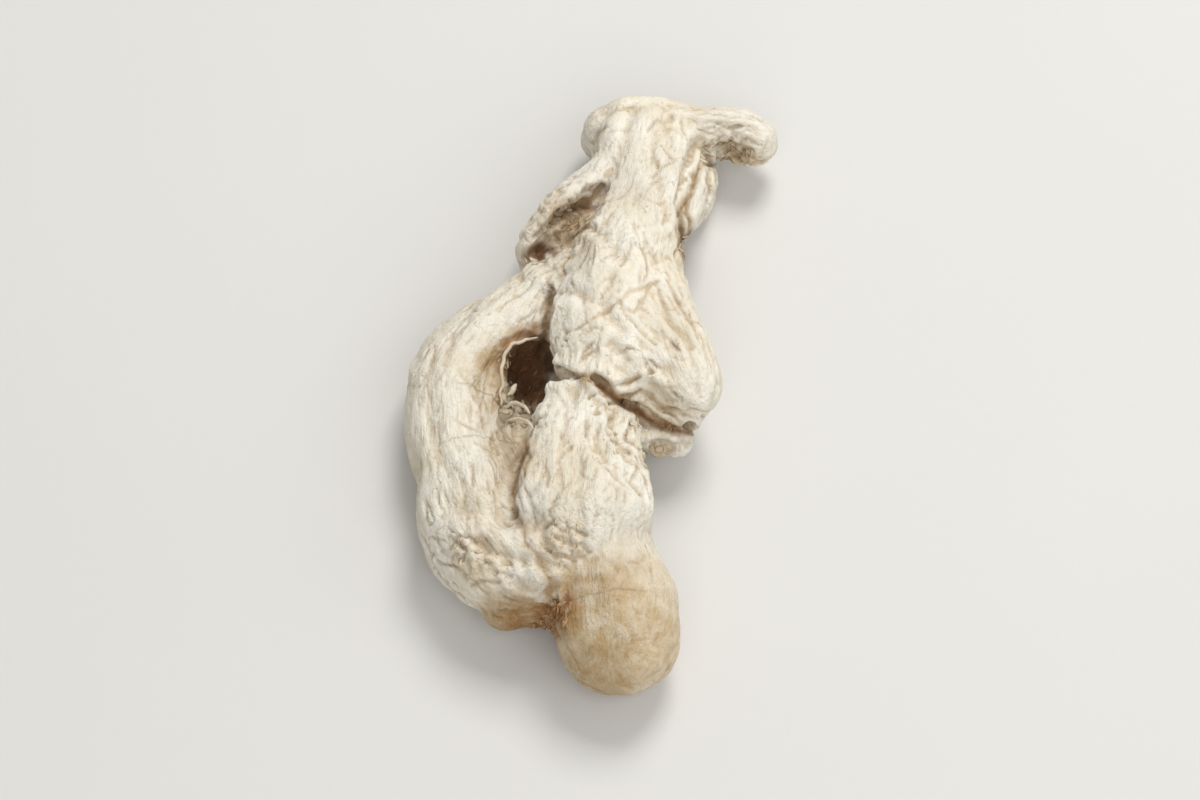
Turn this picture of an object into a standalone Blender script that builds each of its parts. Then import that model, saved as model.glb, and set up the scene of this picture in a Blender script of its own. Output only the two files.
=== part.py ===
"""A dried ginger rhizome, lying on its back as it rests on a table.

The rhizome grew as one piece, so it is one solid: a trunk with a flattened crest, a hooked
side finger, a middle finger that ends in a smooth knob, a shoulder, and the stubs where buds
and branches were broken off. Its flesh has shrunk, so the skin lies in folds and ridges.

Sizes are in millimetres in the tables and in metres in the scene. +Y runs from the knob to
the crest, +Z is up, and the origin is the middle of the rhizome's footprint on the table.
"""

import math

import bmesh
import bpy
import numpy as np
from mathutils import Vector, noise

MM = 0.001
PART = "ginger_root"
SKIN_COLOUR = (0.70, 0.61, 0.46, 1.0)
SKIN_ROUGHNESS = 0.88

# Each lobe is a row of stations along its middle: x, y, z, half width, half thickness.
LOBES = {
    "trunk": [
        (8.8, 39.4, 6.8, 6.5, 4.6),
        (7.0, 33.4, 7.8, 7.0, 5.0),
        (6.5, 26.8, 8.5, 5.9, 5.4),
        (4.7, 19.5, 9.5, 5.9, 6.2),
        (3.4, 12.0, 10.0, 8.6, 7.2),
        (3.7, 6.5, 10.0, 9.0, 7.4),
        (6.2, 0.0, 9.5, 7.0, 6.0),
    ],
    "trunk_hem": [
        (-4.0, 3.9, 10.0, 2.0, 4.6),
        (0.5, 3.4, 10.4, 2.2, 5.2),
        (5.0, 1.8, 10.4, 2.4, 5.2),
        (9.5, -1.4, 10.0, 2.4, 4.8),
    ],
    "crest": [
        (0.0, 35.8, 5.5, 2.6, 3.4),
        (3.5, 37.6, 6.5, 3.2, 4.4),
        (9.0, 38.4, 7.2, 3.2, 5.0),
        (15.4, 38.2, 7.2, 3.0, 4.6),
        (20.6, 38.0, 6.6, 2.6, 4.2),
    ],
    "crest_tip": [
        (15.0, 37.6, 7.4, 2.6, 3.4),
        (19.6, 37.4, 7.0, 2.6, 3.2),
        (20.2, 34.8, 5.6, 1.9, 2.4),
    ],
    "shoulder": [
        (4.2, 11.5, 9.5, 6.0, 6.0),
        (6.8, 6.8, 10.4, 5.8, 6.4),
        (9.4, 3.0, 10.2, 5.4, 6.2),
        (12.6, -3.0, 9.6, 4.2, 5.0),
    ],
    "torn_stub": [
        (5.0, 1.2, 7.0, 3.0, 3.6),
        (8.4, -3.4, 7.0, 3.0, 3.4),
        (12.0, -4.6, 7.0, 2.2, 2.8),
    ],
    "middle_finger": [
        (0.5, 7.5, 9.4, 4.4, 4.8),
        (-0.2, 0.8, 9.8, 4.2, 5.6),
        (-1.2, -7.2, 10.0, 6.6, 6.2),
        (-1.3, -13.8, 10.4, 8.5, 6.9),
        (-1.6, -18.6, 10.2, 7.3, 6.6),
        (-0.8, -23.4, 9.2, 5.0, 5.4),
    ],
    "hooked_finger": [
        (-0.6, 18.4, 8.0, 4.0, 4.8),
        (-6.0, 13.8, 8.0, 4.1, 5.2),
        (-12.2, 8.4, 7.2, 4.6, 5.6),
        (-16.0, 2.8, 6.2, 5.2, 6.0),
        (-14.6, -7.0, 6.4, 5.8, 6.2),
        (-12.6, -14.8, 7.4, 7.3, 6.6),
        (-8.2, -20.6, 7.8, 6.1, 6.4),
        (0.0, -22.0, 8.4, 5.2, 5.8),
    ],
    "knob": [
        (0.6, -13.0, 8.0, 4.6, 5.0),
        (1.4, -20.2, 8.4, 5.8, 5.8),
        (2.5, -25.8, 7.7, 7.6, 6.6),
        (2.8, -35.5, 7.2, 7.4, 7.0),
    ],
    "rear_bud": [
        (-2.0, -23.4, 6.0, 4.0, 4.0),
        (-6.5, -24.4, 5.8, 3.4, 3.8),
        (-12.4, -25.5, 5.2, 2.6, 3.0),
    ],
    "split_bud": [
        (3.2, 32.8, 8.0, 2.8, 3.6),
        (-1.8, 26.8, 8.0, 3.5, 4.8),
        (-4.7, 22.4, 7.6, 2.9, 4.6),
        (-7.7, 18.6, 7.0, 1.9, 3.4),
    ],
    "hanging_skin": [
        (13.2, 35.6, 7.6, 1.5, 3.0),
        (12.0, 30.5, 7.0, 1.6, 3.2),
        (11.0, 24.8, 6.4, 1.7, 3.0),
    ],
    "heel": [
        (13.0, 36.5, 5.0, 3.2, 4.0),
        (11.0, 32.0, 3.8, 3.7, 4.0),
        (9.0, 27.5, 4.6, 3.2, 3.4),
    ],
    "under_bud": [
        (4.0, 9.0, 7.0, 4.0, 4.0),
        (9.0, 5.5, 4.4, 4.2, 3.6),
        (13.0, 4.0, 3.4, 3.0, 2.6),
    ],
    "gap_floor": [
        (-6.0, 12.0, 4.4, 4.4, 2.8),
        (-7.6, 6.0, 3.4, 5.0, 2.0),
        (-8.0, 0.0, 3.6, 5.2, 2.0),
        (-7.6, -5.0, 4.6, 4.2, 3.0),
        (-7.4, -10.0, 6.8, 3.6, 4.4),
    ],
    "gap_lip": [
        (-10.4, -2.0, 6.4, 1.2, 2.4),
        (-10.9, 2.0, 6.8, 1.4, 2.6),
        (-10.2, 6.0, 7.4, 1.4, 2.8),
        (-7.8, 9.2, 7.8, 1.8, 3.2),
        (-5.4, 10.6, 8.4, 1.8, 3.6),
    ],
}
SIDES = 40
RINGS = 64

# The hollows that are scooped out of the fused lobes, as rows of the same stations.
HOLLOWS = {
    "split_bud_mouth": [
        (1.9, 27.8, 13.0, 1.0, 2.4),
        (-1.4, 24.1, 12.2, 1.7, 3.6),
        (-4.3, 21.1, 11.6, 1.7, 3.8),
        (-7.0, 18.2, 10.8, 1.1, 2.6),
    ],
    "torn_crest": [
        (14.4, 34.6, 6.4, 1.5, 1.7),
        (17.0, 35.2, 6.8, 1.7, 2.0),
        (19.2, 35.0, 7.2, 1.2, 1.5),
    ],
    "gap_hole": [
        (-7.6, 8.0, 9.2, 1.7, 4.2),
        (-7.6, 5.4, 9.0, 2.4, 5.4),
        (-7.8, 1.8, 8.8, 2.2, 5.0),
        (-7.4, -1.6, 9.0, 1.6, 3.4),
    ],
    "under_stub": [
        (5.8, -5.8, 10.0, 1.2, 1.8),
        (7.8, -7.0, 8.2, 1.5, 2.6),
        (9.6, -8.2, 6.4, 1.2, 1.8),
    ],
}

# Folds as seen from above: depth, half width, then x and y along them.
UPPER_FOLDS = {
    "trunk_and_hook": (1.0, 0.7, [(-5.1, 11.8), (-5.6, 8.6), (-5.7, 5.4), (-5.2, 2.0), (-3.4, 0.4)]),
    "trunk_and_finger": (0.7, 0.7, [(-4.4, 0.8), (-2.3, 0.1), (-0.6, -0.2), (1.2, -1.0)]),
    "under_shoulder": (2.0, 0.8, [(1.2, -1.0), (3.0, -2.2), (6.2, -3.8), (9.4, -5.4), (12.8, -4.8)]),
    "shoulder_wrinkle": (0.5, 0.7, [(2.4, 3.0), (5.6, 0.6), (8.6, 0.2)]),
    "shoulder_crease": (1.0, 0.6, [(6.6, -1.4), (9.6, -3.2), (12.2, -3.4)]),
    "hook_and_finger": (1.2, 1.1, [(-7.2, -6.0), (-8.8, -10.0), (-10.0, -14.0), (-9.6, -18.0)]),
    "trunk_and_skin": (2.0, 0.8, [(13.0, 34.6), (11.6, 29.0), (10.8, 24.0), (11.6, 19.5)]),
    "hook_foot": (0.6, 0.7, [(-12.6, -20.6), (-10.6, -22.2), (-8.0, -23.2), (-4.4, -23.8)]),
    "finger_side": (1.0, 0.8, [(2.4, -3.2), (3.0, -7.0), (4.6, -10.6)]),
    "neck_left": (0.4, 0.8, [(5.0, 38.0), (3.4, 32.0), (1.4, 26.0), (-0.6, 20.0)]),
    "neck_middle": (0.45, 0.8, [(9.0, 38.0), (7.4, 32.0), (7.8, 26.0), (9.4, 21.0)]),
    "trunk_slant": (0.45, 0.8, [(0.4, 19.0), (3.0, 14.4), (7.4, 10.0), (12.0, 7.4)]),
    "trunk_slant_low": (0.4, 0.8, [(-3.4, 11.4), (0.6, 8.2), (3.4, 4.6)]),
    "hook_outer": (0.2, 0.9, [(-9.6, 18.0), (-15.0, 10.0), (-18.4, 3.0), (-18.2, -5.0), (-15.4, -13.0)]),
    "hook_inner": (0.15, 0.9, [(-10.0, 9.6), (-13.2, 3.6), (-12.8, -4.4), (-9.8, -11.6)]),
    "hook_end": (0.4, 0.9, [(-15.6, -16.4), (-10.4, -17.4), (-5.6, -19.6)]),
    "crest_top": (0.5, 0.8, [(2.0, 38.2), (9.0, 39.2), (15.6, 39.0), (20.4, 38.4)]),
}
LOWER_FOLDS = {
    "hook_under": (0.9, 1.0, [(-6.0, 18.0), (-11.5, 9.0), (-13.5, 0.0), (-13.0, -8.0), (-9.0, -16.0)]),
    "trunk_under": (1.0, 1.0, [(8.0, 30.0), (5.0, 20.0), (2.5, 10.0), (1.0, 0.0), (0.5, -10.0)]),
    "web_under": (1.2, 1.2, [(-4.5, 14.0), (-5.0, 6.0), (-5.0, -2.0), (-5.5, -10.0)]),
    "knob_ring": (0.9, 0.9, [(-3.5, -21.0), (2.0, -19.4), (8.5, -20.5)]),
    "neck_ring": (0.8, 0.9, [(0.0, 22.0), (6.0, 23.6), (12.0, 21.6)]),
    "hook_ring": (0.8, 0.9, [(-19.5, -1.6), (-14.0, -3.2), (-8.6, -1.6)]),
    "finger_ring": (0.8, 0.9, [(-5.0, -9.6), (1.0, -11.6), (7.5, -9.8)]),
}

FUSE_VOXEL = 0.6 * MM
FINE_VOXEL = 0.5 * MM
SMOOTH_TURNS = 6
LUMP_SIZE = 9.0
LUMP_HEIGHT = 1.3
RIDGE_SPACING = 4.2
RIDGE_STRETCH = 2.4
RIDGE_HEIGHT = 1.2
SMOOTH_LOBES = {"knob": 0.35, "hooked_finger": 0.5}
TRIANGLES = 11000
FOOT_LEVEL = 0.9
SHARP_ANGLE = math.radians(50)
GRAIN_PLACE = Vector((17.3, 4.1, 9.7))
BEND_SEED = 5


def skin_material():
    """The dry, chalky skin."""
    made = bpy.data.materials.new("dried ginger skin")
    made.use_nodes = True
    shader = made.node_tree.nodes["Principled BSDF"]
    shader.inputs["Base Color"].default_value = SKIN_COLOUR
    shader.inputs["Roughness"].default_value = SKIN_ROUGHNESS
    shader.inputs["Metallic"].default_value = 0.0
    made.diffuse_color = SKIN_COLOUR
    return made


def clear_scene():
    for old in list(bpy.data.objects):
        bpy.data.objects.remove(old)


def along_spline(stations, count):
    """Evenly spaced stations on a smooth curve through the given ones, and how far along each is."""
    points = np.array(stations, float)
    ends = np.vstack([2 * points[0] - points[1], points, 2 * points[-1] - points[-2]])
    fine = []
    for a, b, c, d in zip(ends, ends[1:], ends[2:], ends[3:]):
        for t in np.linspace(0, 1, 24, endpoint=False):
            square = (2 * a - 5 * b + 4 * c - d) * t**2
            cube = (3 * b - 3 * c + d - a) * t**3
            fine.append(0.5 * (2 * b + (c - a) * t + square + cube))
    fine = np.array(fine + [points[-1]])
    steps = np.linalg.norm(np.diff(fine[:, :3], axis=0), axis=1)
    reach = np.concatenate([[0], np.cumsum(steps)])
    wanted = np.linspace(0, reach[-1], count)
    return np.stack([np.interp(wanted, reach, column) for column in fine.T], 1), wanted


def axes_along(centres):
    """The sideways and upward directions at each station of a lobe."""
    forward = np.gradient(centres, axis=0)
    forward /= np.linalg.norm(forward, axis=1)[:, None]
    sideways = np.cross(forward, (0, 0, 1))
    sideways /= np.linalg.norm(sideways, axis=1)[:, None]
    return sideways, np.cross(sideways, forward)


def drawn_out_ball(bm, stations):
    """Adds a ball that is drawn out along the stations, round at both ends."""
    line, reach = along_spline(stations, 160)
    sideways, upwards = axes_along(line[:, :3])
    made = bmesh.ops.create_uvsphere(bm, u_segments=SIDES, v_segments=RINGS, radius=1)
    for vertex in made["verts"]:
        place = (1 - vertex.co.z) / 2 * (len(line) - 1)
        low = min(int(place), len(line) - 2)
        part = place - low
        row = line[low] * (1 - part) + line[low + 1] * part
        at = reach[low] * (1 - part) + reach[low + 1] * part
        cap = min(row[3], row[4])
        to_tip = min(at, reach[-1] - at, cap) / cap
        swell = math.sqrt(max(0.0, 1 - (1 - to_tip) ** 2))
        turn = math.atan2(vertex.co.y, vertex.co.x)
        across = sideways[low] * row[3] * swell * math.cos(turn)
        above = upwards[low] * row[4] * swell * math.sin(turn)
        vertex.co = Vector((row[:3] + across + above) * MM)


def mesh_of(rows, name):
    bm = bmesh.new()
    for stations in rows.values():
        drawn_out_ball(bm, stations)
    bmesh.ops.recalc_face_normals(bm, faces=bm.faces)
    mesh = bpy.data.meshes.new(name)
    bm.to_mesh(mesh)
    bm.free()
    return mesh


def add_object(name, mesh, collection):
    made = bpy.data.objects.new(name, mesh)
    collection.objects.link(made)
    return made


def apply_modifiers(thing):
    """Replaces the object's mesh with what its modifiers make of it."""
    graph = bpy.context.evaluated_depsgraph_get()
    graph.update()
    mesh = bpy.data.meshes.new_from_object(thing.evaluated_get(graph))
    thing.modifiers.clear()
    thing.data = mesh


def remesh(thing, voxel):
    step = thing.modifiers.new("one skin", "REMESH")
    step.mode = "VOXEL"
    step.voxel_size = voxel
    apply_modifiers(thing)


def smooth(thing, turns, factor=0.5):
    step = thing.modifiers.new("soften", "SMOOTH")
    step.factor = factor
    step.iterations = turns
    apply_modifiers(thing)


def scoop(thing, hollows):
    """Cuts the hollows out of the fused lobes."""
    step = thing.modifiers.new("scoop", "BOOLEAN")
    step.operation = "DIFFERENCE"
    step.object = hollows
    apply_modifiers(thing)


def points_and_normals(mesh):
    points = np.empty(len(mesh.vertices) * 3, np.float32)
    normals = np.empty(len(mesh.vertices) * 3, np.float32)
    mesh.vertices.foreach_get("co", points)
    mesh.vertices.foreach_get("normal", normals)
    return points.reshape(-1, 3) / MM, normals.reshape(-1, 3)


def raise_skin(mesh, height):
    """Moves each point of the mesh outwards by its height in millimetres."""
    points, normals = points_and_normals(mesh)
    moved = (points + normals * height[:, None]) * MM
    mesh.vertices.foreach_set("co", moved.astype(np.float32).ravel())
    mesh.update()


def distance_in_plan(points, line):
    """How far each point is from the line, as seen from above."""
    nearest = np.full(len(points), 1e9)
    for start, end in zip(line[:-1], line[1:]):
        along = end - start
        share = np.clip((points - start) @ along / (along @ along), 0, 1)
        gap = np.linalg.norm(points - start - share[:, None] * along, axis=1)
        nearest = np.minimum(nearest, gap)
    return nearest


def fold_heights(points, facing, folds):
    """The folds: a valley along each line with a soft lip on both sides, where the skin faces it."""
    height = np.zeros(len(points))
    seen = np.clip((facing + 0.25) / 0.5, 0, 1)
    for depth, half_width, line in folds.values():
        gap = distance_in_plan(points[:, :2], np.array(line, float)) / half_width
        lip = 0.25 * np.exp(-((gap - 2.0) ** 2))
        height += depth * seen * (lip - np.exp(-(gap**2)))
    return height


def skin_coordinates(points):
    """For each lobe, where every point is along it and across it, and how much it belongs to it."""
    found = []
    closeness = []
    for stations in LOBES.values():
        line, reach = along_spline(stations, 48)
        sideways, upwards = axes_along(line[:, :3])
        gaps = np.linalg.norm(points[:, None, :] - line[None, :, :3], axis=2)
        nearest = gaps.argmin(axis=1)
        offset = points - line[nearest, :3]
        across = (offset * sideways[nearest]).sum(1)
        above = (offset * upwards[nearest]).sum(1)
        closeness.append(np.hypot(across / line[nearest, 3], above / line[nearest, 4]))
        found.append(np.stack([reach[nearest], across, above], 1))
    closeness = np.array(closeness)
    weights = np.exp(-5 * (closeness - closeness.min(axis=0)))
    return found, weights / weights.sum(axis=0)


def ridge_heights(points):
    """Ridges of shrunken skin that run along each lobe."""
    height = np.zeros(len(points))
    places, weights = skin_coordinates(points)
    stretch = np.array([1 / RIDGE_STRETCH, 1, 1]) / RIDGE_SPACING
    for index, name in enumerate(LOBES):
        shift = GRAIN_PLACE * (index + 1)
        share = weights[index] * SMOOTH_LOBES.get(name, 1.0)
        for at in np.flatnonzero(share > 0.02):
            spot = Vector(places[index][at] * stretch) + shift
            bent = spot + noise.noise_vector(spot * 0.6) * 0.7
            height[at] += share[at] * (noise.turbulence(bent, 2, True) - 0.4)
    return height * RIDGE_HEIGHT


def lump_heights(points):
    """The uneven swelling of the flesh under the skin."""
    return LUMP_HEIGHT * np.array(
        [noise.noise(Vector(point / LUMP_SIZE) + GRAIN_PLACE) for point in points]
    )


def thin_out(thing, triangles):
    """Keeps the triangles where the surface bends most, down to about this many."""
    thing.data.calc_loop_triangles()
    step = thing.modifiers.new("thin out", "DECIMATE")
    step.ratio = triangles / len(thing.data.loop_triangles)
    step.use_collapse_triangulate = True
    apply_modifiers(thing)


def flatten_feet(mesh):
    """Cuts the low points level, so that the rhizome rests on flat spots."""
    bm = bmesh.new()
    bm.from_mesh(mesh)
    everything = bm.verts[:] + bm.edges[:] + bm.faces[:]
    cut = bmesh.ops.bisect_plane(
        bm, geom=everything, plane_co=(0, 0, FOOT_LEVEL * MM), plane_no=(0, 0, -1), clear_outer=True
    )
    rim = [part for part in cut["geom_cut"] if isinstance(part, bmesh.types.BMEdge)]
    bmesh.ops.holes_fill(bm, edges=rim)
    bmesh.ops.triangulate(bm, faces=bm.faces)
    bm.to_mesh(mesh)
    bm.free()


def put_on_origin(mesh):
    """Puts the middle of the footprint at the origin."""
    points, _ = points_and_normals(mesh)
    low = points.min(axis=0)
    high = points.max(axis=0)
    middle = np.array([(low[0] + high[0]) / 2, (low[1] + high[1]) / 2, low[2]])
    mesh.vertices.foreach_set("co", ((points - middle) * MM).astype(np.float32).ravel())
    mesh.update()


def main():
    clear_scene()
    noise.seed_set(BEND_SEED)
    shown = bpy.data.collections.new(PART)
    helpers = bpy.data.collections.new("hollows")
    for made in (shown, helpers):
        bpy.context.scene.collection.children.link(made)
    root = add_object(PART, mesh_of(LOBES, PART), shown)
    hollows = add_object("hollows", mesh_of(HOLLOWS, "hollows"), helpers)
    remesh(root, FUSE_VOXEL)
    remesh(hollows, FUSE_VOXEL)
    scoop(root, hollows)
    remesh(root, FINE_VOXEL)
    smooth(root, SMOOTH_TURNS)
    points, normals = points_and_normals(root.data)
    raise_skin(root.data, lump_heights(points))
    points, normals = points_and_normals(root.data)
    folds = fold_heights(points, normals[:, 2], UPPER_FOLDS)
    folds += fold_heights(points, -normals[:, 2], LOWER_FOLDS)
    raise_skin(root.data, folds + ridge_heights(points))
    bpy.data.objects.remove(hollows)
    thin_out(root, TRIANGLES)
    flatten_feet(root.data)
    put_on_origin(root.data)
    root.data.shade_smooth()
    root.data.set_sharp_from_angle(angle=SHARP_ANGLE)
    root.data.materials.append(skin_material())
    return root


main()
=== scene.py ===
"""A dried ginger root on a plain pale floor, with the skin, the folds and the torn places that it
shows close to.

The skin is a finer copy of the root's own solid. It grows a little over the flesh, which stays as
it is, so that it buckles. Then come wrinkles along the lobes, short scattered folds, the creases and
rims that are drawn as the camera sees them, and the fine relief. Bits and thin edges of torn skin
lie on it. Sizes are in millimetres, but lights, the floor and bumps go by the metre.
"""

import math

import bmesh
import bpy
import numpy as np
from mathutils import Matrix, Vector, kdtree, noise


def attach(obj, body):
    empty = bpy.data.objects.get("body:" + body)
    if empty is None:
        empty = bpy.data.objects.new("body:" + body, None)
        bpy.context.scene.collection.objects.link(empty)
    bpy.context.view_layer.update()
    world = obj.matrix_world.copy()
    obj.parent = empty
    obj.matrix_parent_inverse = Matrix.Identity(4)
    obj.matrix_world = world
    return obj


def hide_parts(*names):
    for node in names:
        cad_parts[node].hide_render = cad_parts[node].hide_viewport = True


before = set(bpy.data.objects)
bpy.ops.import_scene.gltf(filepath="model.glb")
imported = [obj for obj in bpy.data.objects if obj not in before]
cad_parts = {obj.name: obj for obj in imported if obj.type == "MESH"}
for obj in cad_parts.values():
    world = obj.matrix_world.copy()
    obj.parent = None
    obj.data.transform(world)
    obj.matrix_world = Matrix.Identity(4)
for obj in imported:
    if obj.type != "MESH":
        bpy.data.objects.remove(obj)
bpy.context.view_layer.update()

MM = 0.001
ROOT = "ginger_root"

# The camera looks down at the middle of the root at this angle from the floor, this far away, and
# aims a little right of the middle.
VIEW_HEIGHT = math.radians(60)
VIEW_DISTANCE = 450.0
VIEW_MIDDLE = np.array([-0.5, -3.1, 8.1])
VIEW_ACROSS = np.array([1.0, 0.0, 0.0])
VIEW_BACK = np.array([0.0, -math.cos(VIEW_HEIGHT), math.sin(VIEW_HEIGHT)])
VIEW_UP = np.array([0.0, math.sin(VIEW_HEIGHT), math.cos(VIEW_HEIGHT)])
LENS = 118.0
SENSOR_WIDTH = 36.0
AIM_RIGHT = 1.0

# The fine copy of the solid: its voxels, how it is smoothed, and how close its corners are merged.
SKIN_VOXEL = 0.31
SKIN_SMOOTHING = 0.5
SKIN_SMOOTH_TURNS = 4
MERGE_GAP = 0.001

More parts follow.
